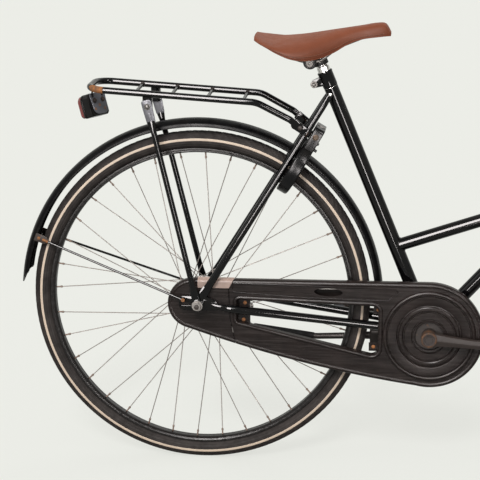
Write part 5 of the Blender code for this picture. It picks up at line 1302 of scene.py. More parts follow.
def crank(side, hand):
    """A forged arm that narrows from its boss, with a ridge along its face."""
    way = SIDE * side
    facing = rising(CRANK_DEGREES) * (1 if side == RIGHT else -1)
    eye = BB + facing * CRANK_LENGTH
    across = Vector((-facing.z, 0, facing.x))
    section = [(-share, depth) for share, depth in reversed(CRANK_SECTION[1:])] + list(CRANK_SECTION)
    rings = []
    for along, half, ridge in CRANK_STATIONS:
        ring = []
        for share, depth in section:
            height = depth * CRANK_THICKNESS * (ridge if depth > 0.9 else 1.0)
            ring.append(BB + facing * along + across * half * share + way * (CRANK_INNER + height))
        rings.append(ring)
    shape = Shape().add(grid(rings))
    rusty_rim = [
        (0.0160, 0.0615), (0.0160, 0.0790), (0.0155, 0.0800), (0.0146, 0.0805), (0.0128, 0.0805),
        (0.0122, 0.0798), (0.0120, 0.0700), (0.0150, 0.0640),
    ]
    boss = [
        (0.0088, 0.0605), (0.0150, 0.0605), (0.0158, 0.0616), (0.0158, 0.0786), (0.0124, 0.0788),
        (0.0088, 0.0784),
    ]
    shape.add(turned(rusty_rim, BB, way, 56, closed=True), 1)
    shape.add(turned(boss, BB, way, 56, closed=True))
    shape.add(hexagon(BB + way * 0.0779, way, 0.0140, 0.0030))
    end = collar(0.0048, 0.0118, 0, CRANK_THICKNESS, 0.0010, 0.0012)
    shape.add(turned(end, eye + way * CRANK_INNER, way, 48, closed=True))
    spindle = [
        (0, 0.1220), (0.0036, 0.1220), (0.0045, 0.1212), (0.0045, 0.0190), (0.0056, 0.0180), (0.0082, 0.0160),
        (0.0085, 0.0150), (0.0085, 0.0010), (0.0050, 0.0), (0.0047, -0.0125), (0, -0.0125),
    ]
    outside = CRANK_INNER + CRANK_THICKNESS
    shape.add(turned(spindle, eye + way * outside, way, 36), 2)
    finishes = [CRANK_STEEL, CRANK_RUST, DARK_RUST]
    piece(f"{hand}_crank_arm", shape, "crankset", finishes, f"{hand}_crank", sharp=38)
    pedal(eye, side, hand, outside + 0.0195)


def pedal(eye, side, hand, start):
    """Two ribbed rubber blocks between pressed end plates, round a barrel."""
    length, half, tall, ribs = 0.094, 0.033, 0.013, 48
    way = SIDE * side
    end = start + length
    low, high = start + 0.002, end - 0.002
    shape = Shape().add(turned(collar(0.0050, 0.0095, start, end, 0.0007), eye, way, 36, closed=True), 1)
    for turn in (1, -1):
        rings = []
        for step in range(ribs + 1):
            along = low + (high - low) * step / ribs
            groove = 0.0011 if step % 6 in (2, 3) and 1 < step < ribs - 1 else 0.0
            lower = [
                (0.0125, -tall + 0.003), (0.0155, -tall + groove), (half - 0.004, -tall + groove),
                (half - groove, -tall + 0.005),
            ]
            outline = corners(lower + [(x, -z) for x, z in reversed(lower)], [0.0008] * 8, 2)
            rings.append([eye + Vector((turn * x, side * along, z)) for x, z in outline])
        shape.add(grid(rings))
    wide, high = half - 0.004, 0.009
    outline = corners([
        (eye.x - wide, eye.z - high), (eye.x + wide, eye.z - high), (eye.x + wide, eye.z + high),
        (eye.x - wide, eye.z + high),
    ], [0.004] * 4, 5)
    for along in (start + 0.0013, end - 0.0013):
        shape.add(plate([outline, arc(eye, 0.0060, 360, 15, 23)], 0.0026, side * along, 0.0005), 2)
    for turn in (1, -1):
        screw = eye + Vector((turn * 0.0215, side * (end - 0.0003), 0))
        shape.add(domed_bolt(screw, way, 0.0036, 0.0018), 2)
    finishes = [SOFT_BLACK, DULL_STEEL, PRESSED]
    piece(f"{hand}_pedal_rubbers", shape, f"{hand}_pedal_body", finishes, f"{hand}_pedal")


for side, hand in HANDS:
    crank(side, hand)
    cup = [
        (0.0090, -0.011), (0.0172, -0.011), (0.0172, 0.0), (0.0195, 0.0), (0.0195, 0.0022), (0.0188, 0.0028),
        (0.0150, 0.0028), (0.0145, 0.0020), (0.0120, 0.0020), (0.0115, 0.0028), (0.0090, 0.0028),
    ]
    cups = turned(cup, BB + SIDE * side * 0.0343, SIDE * side, 48, closed=True)
    piece(f"{hand}_bottom_bracket_race", cups, "frame", DARK_RUST, f"{hand}_bottom_bracket_cup")


# Seat post, saddle and lug

POST_INSERTED, POST_RADIUS, POST_NECK = 0.150, 0.0127, 0.0110
post = [
    (0, 0.1810), (0.0095, 0.1810), (POST_NECK, 0.1800), (POST_NECK, 0.1625), (0.0116, 0.1612),
    (POST_RADIUS, 0.1590), (POST_RADIUS, 0.0004), (0.0120, 0), (0.0112, 0), (0.0112, 0.050), (0, 0.050),
]
post_tube = turned(post, SEAT_TOP - SEAT_DIR * POST_INSERTED, SEAT_DIR, 56)
piece("seat_post_tube", post_tube, "saddle", CHROME, "seat_post")

BEHIND = Vector((-SEAT_DIR.z, 0, SEAT_DIR.x))
lug_bolt = SEAT_TOP - SEAT_DIR * 0.0166 + BEHIND * 0.0283
sleeve = [
    (0.0131, 0.0), (0.0145, 0.0), (0.0150, -0.0006), (0.0154, -0.0012), (0.0154, -0.0036), (0.0150, -0.0044),
    (0.0150, -0.0300), (0.0146, -0.0330), (0.0140, -0.0340), (0.0131, -0.0340),
]
ear_outline = belt(lug_bolt, 0.0072, SEAT_TOP - SEAT_DIR * 0.018, 0.0105, 20, 12)
split_box = moved(
    block((-0.0012, 0.0, -0.05), (0.0012, 0.05, 0.05)), frame_at(SEAT_TOP, SIDE, BEHIND, SEAT_DIR)
)
ears = carved(prism(ear_outline, -0.0088, 0.0088), [
    ("DIFFERENCE", cylinder(SEAT_TOP - SEAT_DIR * 0.02, SEAT_DIR, BORE_RADIUS, -0.05, 0.05)),
    ("DIFFERENCE", split_box),
])
lug = Shape().add(turned(sleeve, SEAT_TOP, SEAT_DIR, 56, closed=True)).add(ears, 1)
piece("seat_lug_clamp", lug, "frame", [ENAMEL, RUSTY_ENAMEL], "seat_lug", round_off=0.0007)

bolt_shape = Shape().add(rod(lug_bolt - SIDE * 0.0150, lug_bolt + SIDE * 0.0150, 0.0027, 20))
dome = [(0, 0.0), (0.0042, 0.0)]
for step in range(1, 7):
    turn = math.pi / 2 * step / 6
    dome.append((0.0042 * math.cos(turn), 0.0036 * math.sin(turn)))
for side in (RIGHT, LEFT):
    way = SIDE * side
    bolt_shape.add(cylinder(lug_bolt + way * 0.0090, way, 0.0066, 0, 0.0010, 32))
    bolt_shape.add(hexagon(lug_bolt + way * 0.0100, way, 0.0096, 0.0036))
    bolt_shape.add(turned(dome, lug_bolt + way * 0.0134, way, 28))
piece("seat_clamp_bolt_and_nut", bolt_shape, "frame", DULL_STEEL, "seat_clamp_bolt")

rail_clamp = at(0.221, 0, 0.8412)
clamp_foot = SEAT_TOP + SEAT_DIR * 0.0135
CLAMP_BORE = 0.0112
cheek = [
    (0.0000, 0.0), (0.0130, 0.0), (0.0138, 0.0008), (0.0138, 0.0050), (0.0110, 0.0062), (0.0108, 0.0074),
    (0.0121, 0.0080), (0.0121, 0.0120), (0.0108, 0.0130), (0.0000, 0.0130),
]
band = collar(CLAMP_BORE, 0.0145, 0, 0.0150, 0.0006)
clamp_shape = Shape().add(turned(band, clamp_foot, SEAT_DIR, 48, closed=True))
clamp_shape.add(carved(
    cylinder(rail_clamp, SIDE, 0.0108, -0.0165, 0.0165),
    [("DIFFERENCE", cylinder(clamp_foot, SEAT_DIR, CLAMP_BORE, -0.05, 0.09, 40))],
))
for side in (RIGHT, LEFT):
    way = SIDE * side
    clamp_shape.add(turned(cheek, rail_clamp + way * 0.0160, way, 48))
    clamp_shape.add(cylinder(rail_clamp + way * 0.0290, way, 0.0075, 0, 0.0008, 32), 1)
    clamp_shape.add(hexagon(rail_clamp + way * 0.0298, way, 0.0112, 0.0050), 1)
    clamp_shape.add(domed_bolt(rail_clamp + way * 0.0346, way, 0.0032, 0.0014), 1)
piece("saddle_rail_clamp", clamp_shape, "saddle", [MATT_BLACK, DULL_STEEL], "saddle_clamp")

rail_half = [
    at(0.143, 0.036, 0.8800), at(0.180, 0.022, 0.8515), at(0.205, 0.022, 0.8440), at(0.240, 0.022, 0.8440),
    at(0.275, 0.017, 0.8720), at(0.346, 0.008, 0.9000),
]
rail_bends = [0.03, 0.03, 0.02, 0.03, 0.006]
rail_path = rounded(rail_half + mirrored(rail_half), rail_bends + rail_bends[::-1], 6)
piece("saddle_rail_wires", swept(rail_path, 0.0035, 20), "saddle", DULL_STEEL, "saddle_rails")

# Stations of the saddle from its rear end: share of the length, half width, crown and lower edge heights.
SADDLE_STATIONS = (
    (0.000, 0.042, 0.8960, 0.8868), (0.045, 0.064, 0.8912, 0.8832), (0.110, 0.086, 0.8870, 0.8780),
    (0.190, 0.099, 0.8863, 0.8680), (0.290, 0.102, 0.8885, 0.8570), (0.390, 0.095, 0.8930, 0.8525),
    (0.490, 0.077, 0.8987, 0.8548), (0.590, 0.055, 0.9043, 0.8640), (0.690, 0.038, 0.9097, 0.8790),
    (0.790, 0.030, 0.9148, 0.8885), (0.900, 0.027, 0.9200, 0.8926), (0.965, 0.022, 0.9185, 0.8943),
    (1.000, 0.014, 0.9030, 0.8955),
)
SADDLE_REAR, SADDLE_LENGTH, SADDLE_PAD = REAR.x + 0.1116, 0.2676, 0.013
# How much smaller the leather starts than its outline, and how far the cloth may push it out.
SWELL, SADDLE_SWELL_CAP = 0.0012, 0.0022
SADDLE_RINGS, SADDLE_STEPS = 72, 40
CLOTH_FRAMES = 20


def saddle_section(share):
    """Half width, crown height and lower edge height at a share of the length from the rear."""
    last = len(SADDLE_STATIONS) - 1
    start = 0
    while start < last - 1 and share > SADDLE_STATIONS[start + 1][0]:
        start += 1
    four = [SADDLE_STATIONS[min(max(start + step, 0), last)] for step in (-1, 0, 1, 2)]
    span = four[2][0] - four[1][0]
    t = (share - four[1][0]) / span
    found = []
    for index in (1, 2, 3):
        values = [station[index] for station in four]
        leave = (values[2] - values[0]) / max(four[2][0] - four[0][0], 1e-6) * span
        reach = (values[3] - values[1]) / max(four[3][0] - four[1][0], 1e-6) * span
        found.append(
            (2 * t**3 - 3 * t**2 + 1) * values[1] + (t**3 - 2 * t**2 + t) * leave
            + (3 * t**2 - 2 * t**3) * values[2] + (t**3 - t**2) * reach
        )
    return found


def saddle_hollow(share):
    """Height of the hollow under the saddle."""
    half, top, low = saddle_section(share)
    return min(low + 0.022, top - min(SADDLE_PAD, (top - low) * 0.6))


def saddle_point(share, turn, swell=0.0):
    """A point on the cover: turn 0 at one lower edge, pi at the other."""
    half, top, low = saddle_section(share)
    y = half * math.copysign(abs(math.cos(turn)) ** 0.72, math.cos(turn))
    z = low + (top - low) * max(0.0, math.sin(turn)) ** 0.62
    out = Vector((0, y / half, max(0.0, math.sin(turn)))).normalized()
    return Vector((SADDLE_REAR + SADDLE_LENGTH * share, y, z)) + out * swell


def saddle_cushion():
    """The cover's closed form, slightly smaller than it ends up, with its turned-in flaps."""
    rings = []
    for index in range(SADDLE_RINGS + 1):
        share = 0.5 - 0.5 * math.cos(math.pi * index / SADDLE_RINGS)
        half, top, low = saddle_section(share)
        ring = [
            saddle_point(share, math.pi * step / SADDLE_STEPS, -SWELL) for step in range(SADDLE_STEPS + 1)
        ]
        under = saddle_hollow(share)
        for y in (-0.90, -0.84, -0.70, -0.55, -0.25, 0.25, 0.55, 0.70, 0.84, 0.90):
            drop = 0.010 * max(0.0, (abs(y) - 0.6) / 0.3) ** 1.5
            ring.append(Vector((ring[0].x, y * (half - SWELL), max(under - drop, low + 0.0012))))
        rings.append(ring)
    return grid(rings)


def padded_cover():
    """The saddle's leather over its pad, swelled by a cloth simulation."""
    cover = piece("saddle_leather", saddle_cushion(), "saddle", LEATHER, "saddle_cover", sharp=75)
    rest = [vertex.co.copy() for vertex in cover.data.vertices]
    held = cover.vertex_groups.new(name="held")
    for vertex in cover.data.vertices:
        share = min(1.0, max(0.0, (vertex.co.x - SADDLE_REAR) / SADDLE_LENGTH))
        half, top, low = saddle_section(share)
        firm = 1.0 - min(1.0, max(0.0, (vertex.co.z - low - 0.004) / 0.010))
        if vertex.co.z < saddle_hollow(share) + 0.001 and abs(vertex.co.y) < 0.9 * half:
            firm = 1.0
        held.add([vertex.index], firm, "REPLACE")
    cloth = cover.modifiers.new("leather", "CLOTH")
    cloth.settings.quality = 6
    cloth.settings.mass = 0.3
    cloth.settings.tension_stiffness = 30
    cloth.settings.compression_stiffness = 30
    cloth.settings.bending_stiffness = 4
    cloth.settings.use_pressure = True
    cloth.settings.uniform_pressure_force = 4
    cloth.settings.vertex_group_mass = "held"
    cloth.settings.effector_weights.gravity = 0
    cloth.point_cache.frame_start, cloth.point_cache.frame_end = 1, CLOTH_FRAMES
    for step in range(1, CLOTH_FRAMES + 1):
        scene.frame_set(step)
    swelled = cover.evaluated_get(bpy.context.evaluated_depsgraph_get()).data
    moves = [vertex.co - start for vertex, start in zip(swelled.vertices, rest)]
    cover.modifiers.clear()
    scene.frame_set(1)
    for vertex, start, move in zip(cover.data.vertices, rest, moves):
        reach = min(move.length, SADDLE_SWELL_CAP)
        vertex.co = start + (move.normalized() * reach if move.length > 1e-7 else move)
    finer = cover.modifiers.new("finer", "SUBSURF")
    finer.levels = finer.render_levels = 1
    settle(cover)
    cover.data.shade_smooth()
    return cover


padded_cover()


def seam_ring(offset, lift, radius, first, last, count):
    """A line of stitches that follows the saddle's lower edge."""
    stitches = Shape()
    for turn in (math.pi - offset, offset):
        for index in range(count):
            share = first + (last - first) * index / count
            points = []
            for part, height in ((0.0, lift - 0.0012), (0.18, lift), (0.5, lift), (0.82, lift - 0.0012)):
                along = share + (last - first) / count * part * 0.72
                points.append(saddle_point(along, turn, height))
            stitches.add(swept(points, radius, 6))
    return stitches


stitching = seam_ring(offset=0.115, lift=0.0007, radius=0.00042, first=0.03, last=0.955, count=74)
piece("saddle_stitches", stitching, "saddle", THREAD)


def saddle_edge():
    """The piping that closes the leather round the saddle's lower edge."""
    path = [saddle_point(0.004 + 0.992 * index / 90, 0.02, 0.0004) for index in range(91)]
    return swept(path + mirrored(path), 0.0011, 10, loop=True)


piece("saddle_edge_piping", saddle_edge(), "saddle", LEATHER)


def saddle_shell(drop, thickness, shrink):
    """The moulded base under the pad: a dished plate with a rolled edge."""
    rings = []
    for index in range(49):
        share = 0.035 + 0.925 * index / 48
        half, top, low = saddle_section(share)
        level = saddle_hollow(share) - drop
        x = SADDLE_REAR + SADDLE_LENGTH * share
        edge = max(low + 0.0032, level - 0.012 * min(1.0, half / 0.06))
        slope = [(-0.80 * half, edge), (-0.74 * half, level - 0.003), (-0.55 * half, level)]
        across = slope + [(0, level)] + [(-y, z) for y, z in reversed(slope)]
        upper = [Vector((x, y, z)) for y, z in across]
        lower = [Vector((x, y * (1 - shrink), z - thickness)) for y, z in reversed(across)]
        rings.append(upper + lower)
    return grid(rings)


shell_base = Shape().add(saddle_shell(drop=0.0014, thickness=0.0026, shrink=0.03))
for side in (RIGHT, LEFT):
    shell_base.add(rod(at(0.143, side * 0.036, 0.8815), at(0.146, side * 0.036, 0.8755), 0.0062, 24, 0.001))
shell_base.add(rod(at(0.3430, 0, 0.9020), at(0.3450, 0, 0.8975), 0.0105, 24, 0.001))
piece("saddle_base_shell", shell_base, "saddle", MATT_BLACK, "saddle_base", sharp=45)


# Carrier

RACK_TUBE, RACK_RUNG = 0.0068, 0.0035
RACK_HALF = 0.0550
RACK_BACK, RACK_BACK_HEIGHT = -0.220, 0.786
RACK_BEND, RACK_BEND_HEIGHT = 0.118, 0.7655
RACK_RUNGS, FIRST_RUNG, RUNG_PITCH = 4, -0.125, 0.0717
HANGER, HANGER_HALF, HANGER_DROP = -0.099, 0.010, 0.0353


def rack_height(x):
    """Height of the carrier's tube above the floor."""
    drop = (RACK_BEND_HEIGHT - RACK_BACK_HEIGHT) * (x - RACK_BACK) / (RACK_BEND - RACK_BACK)
    return RACK_BACK_HEIGHT + drop


def rack_foot(side):
    """Where the carrier's tube ends, beside the seat stay."""
    return at(0.2045, side * 0.0445, 0.714)


def rack_rail(side):
    """One side of the carrier's tube, from its back corner to its foot."""
    return [
        at(RACK_BACK, side * RACK_HALF, RACK_BACK_HEIGHT), at(RACK_BEND, side * RACK_HALF, RACK_BEND_HEIGHT),
        at(0.1845, side * 0.0485, 0.731), rack_foot(side),
    ]


rack_line = rack_rail(RIGHT)[::-1] + rack_rail(LEFT)
rack_line = spread(rounded(rack_line, [0.02, 0.05, 0.035, 0.035, 0.05, 0.02], 5), 0.012)
# The tube is pressed flat toward both feet.
distances = [0.0]
for first, second in zip(rack_line, rack_line[1:]):
    distances.append(distances[-1] + (second - first).length)
rack_scale = []
for distance in distances:
    left_over = min(distance, distances[-1] - distance)
    share = min(1.0, max(0.0, (left_over - 0.006) / 0.022))
    rack_scale.append((1.0 - 0.05 * (1 - share), 0.27 + 0.73 * share) if share < 1 else (1.0, 1.0))
rack = Shape().add(swept(rack_line, RACK_TUBE, 28, rack_scale, up=UP))
rung_reach = RACK_HALF - RACK_TUBE * 0.72
weld = [(0, -0.0028), (0.0040, -0.0026), (0.0054, -0.0010), (0.0058, 0.0012), (0, 0.0020)]
for index in range(RACK_RUNGS):
    x = FIRST_RUNG + RUNG_PITCH * index
    middle = at(x, 0, rack_height(x) - 0.001)
    ends = [middle - SIDE * rung_reach, middle + SIDE * rung_reach]
    rack.add(swept(spread(ends, 0.006), RACK_RUNG, 16))
    for side in (RIGHT, LEFT):
        rack.add(turned(weld, middle + SIDE * side * (rung_reach - 0.0004), SIDE * side, 24), 1)
tab = corners([
    (-0.0180, -0.0094), (0.0140, -0.0088), (0.0140, 0.0088), (-0.0180, 0.0094),
], [0.003, 0.005, 0.005, 0.003], 5)
hanger_rear, hanger_front = REAR.x + HANGER - HANGER_HALF, REAR.x + HANGER + HANGER_HALF
hanger_top = rack_height(HANGER)
hanger_low = hanger_top - HANGER_DROP
hanger = corners([
    (hanger_rear, hanger_top), (hanger_front, hanger_top),
    (hanger_front, hanger_low), (hanger_rear, hanger_low),
], [0.001, 0.001, 0.007, 0.007], 6)
for side in (RIGHT, LEFT):
    foot = rack_foot(side)
    turn = Matrix.Translation(foot) @ Matrix.Rotation(math.radians(38), 4, "Y")
    rack.add(moved(plate([tab], 0.0034, 0, 0.0008), turn))
    rack.add(domed_bolt(foot + SIDE * side * 0.0016, SIDE * side, 0.0052, 0.0036), 1)
    rack.add(plate([hanger], 0.0030, side * RACK_HALF, 0.0006))
carrier = piece("carrier_frame", rack, "frame", [ENAMEL, DARK_RUST, ORANGE_RUST], "rack", sharp=40)
RUSTY_CORNER, RUSTY_REACH = at(RACK_BACK + 0.016, -RACK_HALF, RACK_BACK_HEIGHT), 0.017
for face in carrier.data.polygons:
    if (face.center - RUSTY_CORNER).length < RUSTY_REACH:
        face.material_index = 2


def rack_stay(side, hand):
    """A tube pressed flat round the axle and, in bare steel, round its upper bolt."""
    foot = REAR + SIDE * side * 0.0682
    top = at(HANGER, side * (RACK_HALF + 0.0045), rack_height(HANGER) - 0.0253)
    way = (top - foot).normalized()
    length = (top - foot).length
    stay = Shape().add(pressed_tube(foot, way, 0.0058, (
        (0.008, 0.31, 1.45), (0.022, 0.31, 1.42), (0.032, 0.50, 1.28), (0.044, 0.86, 1.08), (0.056, 1.0, 1.0),
        (length * 0.5, 1.0, 1.0), (length - 0.062, 1.0, 1.0), (length - 0.050, 0.90, 1.04),
        (length - 0.040, 0.62, 1.26), (length - 0.030, 0.36, 1.52),
    )))
    stay.add(plate([arc(REAR, EYE_RADIUS, 0, 352, 44), axle_hole(REAR)], 0.0036, foot.y, 0.0006))
    across = Vector((-way.z, 0, way.x))

    def pressing(places, radii, steps, thickness, y, ease):
        """A plate in the stay's plane, from places (across, along) round the bolt."""
        outline = flat([top + across * aside + way * along for aside, along in places])
        return plate([corners(outline, radii, steps)], thickness, y, ease)

    head = (
        (-0.0086, -0.036), (0.0086, -0.036), (0.0102, -0.004), (0.0102, 0.0135), (-0.0102, 0.0135),
        (-0.0102, -0.004),
    )
    ridge = ((-0.0030, -0.034), (0.0030, -0.034), (0.0030, -0.013), (-0.0030, -0.013))
    washer = [(0, 0), (0.0064, 0), (0.0064, 0.0008), (0.0060, 0.0012), (0, 0.0012)]
    stay.add(pressing(head, [0.003, 0.003, 0.006, 0.005, 0.005, 0.006], 6, 0.0036, top.y, 0.0008), 1)
    stay.add(pressing(ridge, [0.0028] * 4, 5, 0.0012, top.y + side * 0.0021, 0.0005), 1)
    stay.add(turned(washer, top + SIDE * side * 0.0018, SIDE * side, 40), 2)
    stay.add(domed_bolt(top + SIDE * side * 0.0030, SIDE * side, 0.0046, 0.0028), 2)
    piece(f"{hand}_carrier_stay", stay, "frame", [ENAMEL, PRESSED, BOLT_STEEL], f"{hand}_rack_stay", sharp=42)


for side, hand in HANDS:
    rack_stay(side, hand)


def rack_bracket(side, hand):
    """A collar round the seat stay, with the ear that the carrier bolts to."""
    middle = stay_point(0.7040, side)
    way = (stay_point(0.8, side) - stay_point(0.6, side)).normalized()
    band = collar(0.0079, 0.0106, -0.0080, 0.0080, 0.0006)
    shape = Shape().add(turned(band, middle, way, 44, closed=True))
    across = SIDE.cross(way).normalized()
    ear = carved(block((-0.030, -0.0012, -0.0075), (-0.0030, 0.0012, 0.0075)))
    shape.add(moved(ear, frame_at(middle + SIDE * side * 0.0091, across, way.cross(across), way)))
    piece(f"{hand}_carrier_bracket", shape, "frame", RUSTY_ENAMEL, f"{hand}_rack_bracket", round_off=0.0005)


for side, hand in HANDS:
    rack_bracket(side, hand)


# Tail lamp

LAMP_PLACE = (
    Matrix.Translation(at(-0.2170, 0, 0.7440)) @ Matrix.Rotation(math.radians(-30.9), 4, "Z")
    @ Matrix.Rotation(math.radians(-19.0), 4, "Y")
)
LAMP_HALF, LAMP_TALL = 0.0275, 0.0240
LENS_RIBS, FIRST_RIB, RIB_PITCH = 7, -0.0135, 0.0045


def lamp_outline(margin):
    """The lamp's outline seen from behind: (across, height) with a rounder top."""
    half, tall = LAMP_HALF - margin, LAMP_TALL - margin
    outline = [(-half, -tall), (half, -tall), (half, tall), (-half, tall)]
    return corners(outline, [0.007, 0.007, 0.012, 0.012], 8)


def lamp_loft(levels, outline=lamp_outline):
    """A solid through outlines with a margin and a depth ahead of the lamp's middle each."""
    return grid([
        [LAMP_PLACE @ Vector((depth, across, height)) for across, height in outline(margin)]
        for margin, depth in levels
    ])


housing = lamp_loft((
    (0.0050, 0.0120), (0.0030, 0.0120), (0.0010, 0.0112), (0.0002, 0.0094), (0.0, 0.0060),
    (0.0, -0.0030), (0.0010, -0.0036), (0.0010, -0.0050), (0.0, -0.0056), (0.0, -0.0092),
    (0.0006, -0.0100), (0.0030, -0.0100),
))
piece("tail_lamp_housing", housing, "frame", GLOSS_BLACK, "tail_lamp_body", sharp=40)

lens = Shape().add(lamp_loft((
    (0.0030, -0.0103), (0.0014, -0.0103), (0.0012, -0.0110), (0.0014, -0.0172), (0.0026, -0.0194),
    (0.0050, -0.0203), (0.0075, -0.0205),
)))
for index in range(LENS_RIBS):
    height = FIRST_RIB + RIB_PITCH * index
    lens.add(moved(rod((-0.0203, -0.0170, height), (-0.0203, 0.0170, height), 0.0010, 10), LAMP_PLACE))
piece("tail_lamp_red_lens", lens, "frame", RED_LENS, "tail_lamp_lens", sharp=40)


def plate_outline(margin):
    """The outline of the plate that the lamp sits on."""
    half, tall = LAMP_HALF - margin, LAMP_TALL - margin
    return corners(
        [(-half + 0.007, -tall), (half - 0.004, -tall), (half, tall + 0.002), (-half + 0.002, tall + 0.002)],
        [0.014, 0.009, 0.006, 0.005], 6,
    )


def lamp_bracket():
    """The pressed plate behind the lamp with its two ears and its bolts."""
    shape = Shape().add(lamp_loft((
        (0.0045, 0.0123), (0.0037, 0.0123), (0.0032, 0.0128), (0.0032, 0.0144), (0.0036, 0.0148),
        (0.0050, 0.0148),
    ), plate_outline))
    out = (LAMP_PLACE.to_3x3() @ Vector((1, 0, 0))).normalized()
    for side in (RIGHT, LEFT):
        root = LAMP_PLACE @ Vector((0.0154, side * 0.014, LAMP_TALL - 0.009))
        bend = LAMP_PLACE @ Vector((0.0158, side * 0.014, LAMP_TALL + 0.0035))
        tip = Vector((REAR.x + RACK_BACK + 0.005, bend.y, RACK_BACK_HEIGHT - RACK_TUBE - 0.0036))
        line = spread(rounded([root, bend, tip], [0.004], 10), 0.004)
        shape.add(swept(line, 0.0030, 16, [(0.55, 1.35)] * len(line), up=SIDE.cross(bend - root)), 1)
        bolt = LAMP_PLACE @ Vector((0.0148, side * 0.0120, 0.0075))
        shape.add(cylinder(bolt, out, 0.0052, 0, 0.0008, 28), 2)
        shape.add(hexagon(bolt + out * 0.0008, out, 0.0066, 0.0028), 2)
    hole_rim = [(0.0016, 0), (0.0028, 0), (0.0026, 0.0005), (0.0018, 0.0005)]
    for across, height in ((-0.0140, -0.0090), (0.0135, -0.0110), (0.0, -0.0030)):
        rim = LAMP_PLACE @ Vector((0.0148, across, height))
        shape.add(turned(hole_rim, rim, out, 24, closed=True), 3)
    finishes = [PRESSED, RUSTY_ENAMEL, DARK_RUST, ORANGE_RUST]
    piece("tail_lamp_back_plate", shape, "frame", finishes, "tail_lamp_bracket", sharp=40)


lamp_bracket()


# Ring lock

LOCK_AHEAD, LOCK_UP = Vector((0.8641, 0, -0.5033)), Vector((0.5033, 0, 0.8641))
LOCK_PLACE = frame_at(at(0.1925, 0, 0.6255) + LOCK_AHEAD * 0.0035, SIDE, LOCK_UP, LOCK_AHEAD)
LOCK_RADIUS, LOCK_LOW = 0.052, -63.0
BOW_RADIUS, BOW_GAP = 0.0042, 0.0007
LEVER_DEGREES = 38


def lock_point(degrees, radius):
    """A point round the lock's middle, 0 at its left flank and 90 at its top."""
    angle = math.radians(degrees)
    return LOCK_PLACE @ Vector((radius * math.cos(angle), radius * math.sin(angle), 0))


def lock_arc(start, end, radius, count):
    """Points along the lock's ring, from one angle in degrees to another."""
    return [lock_point(start + (end - start) * index / count, radius) for index in range(count + 1)]


def lock_ring():
    """The horseshoe that the bow runs in, a little thicker at its top, with its ends drawn in."""
    rings = []
    count = 60
    for index in range(-3, count + 4):
        inside = min(max(index, 0), count)
        past = abs(index - inside)
        share = math.sin(math.pi * inside / count) ** 0.5
        angle = math.radians(LOCK_LOW + (180 - 2 * LOCK_LOW) * inside / count)
        squeeze = (1.0, 0.90, 0.66, 0.30)[past]
        turn = math.radians((0.0, 1.0, 1.9, 2.4)[past]) * (1 if index > count else -1)
        half, front, back = 0.0078 + 0.0020 * share, 0.0070 + 0.0025 * share, 0.0155
        section = corners([(-half, -back), (half, -back), (half, front), (-half, front)], [0.0034] * 4, 4)
        way = Vector((math.cos(angle + turn), math.sin(angle + turn), 0))
        rings.append([
            LOCK_PLACE @ (way * (LOCK_RADIUS + out * squeeze) + Vector((0, 0, deep * squeeze)))
            for out, deep in section
        ])
    return grid(rings)


def lock_block():
    """The block with the mechanism on top of the ring, with rounded front and back edges."""
    half, low, high, back, front, edge = 0.036, 0.0445, 0.098, -0.0110, 0.0095, 0.0018
    outline = corners([
        (-half, low), (half, low), (half - 0.003, high), (-half + 0.003, high),
    ], [0.006, 0.006, 0.009, 0.009], 6)
    levels = []
    for index in range(5):
        turn = math.pi / 2 * index / 4
        levels.append((1 - edge * (1 - math.sin(turn)) / half, back + edge * (1 - math.cos(turn))))
    levels += [(scale, front + back - depth) for scale, depth in reversed(levels)]
    middle = Vector((0, (low + high) / 2))
    return grid([
        [LOCK_PLACE @ Vector((x * scale, middle.y + (y - middle.y) * scale, depth)) for x, y in outline]
        for scale, depth in levels
    ])


def lock_case():
    """The lock's case with its key plug, rivets and pegs."""
    reach = BOW_RADIUS + BOW_GAP
    shape = Shape().add(carved(lock_ring(), [
        ("UNION", lock_block()),
        ("DIFFERENCE", swept(lock_arc(LOCK_LOW - 8, 100, LOCK_RADIUS, 40), reach, 20)),
        ("DIFFERENCE", swept(lock_arc(168 - LOCK_LOW, 188 - LOCK_LOW, LOCK_RADIUS, 8), reach, 20)),
        ("DIFFERENCE", swept(lock_arc(-30, 47, LOCK_RADIUS + 0.007, 24), 0.0042, 16)),
    ]))
    plug = [(0, -0.001), (0.0075, -0.001), (0.0080, 0.0), (0.0078, 0.0012), (0.0050, 0.0018), (0, 0.0018)]
    rivet = [(0, 0), (0.0060, 0), (0.0060, 0.0010), (0.0040, 0.0016), (0.0036, 0.0010), (0, 0.0010)]
    shape.add(turned(plug, LOCK_PLACE @ Vector((0, 0.098, -0.0005)), LOCK_UP, 32), 1)
    for side in (RIGHT, LEFT):
        shape.add(turned(rivet, LOCK_PLACE @ Vector((side * 0.0362, 0.0800, -0.0010)), SIDE * side, 28), 2)
        peg = LOCK_PLACE @ Vector((side * 0.0330, 0.0560, 0.0085))
        shape.add(rod(peg, peg + LOCK_AHEAD * 0.0065, 0.0030, 16, 0.001))
    return shape


piece("ring_lock_case", lock_case(), "frame", [LOCK_BLACK, DULL_STEEL, BRASS], "ring_lock_body", sharp=40)

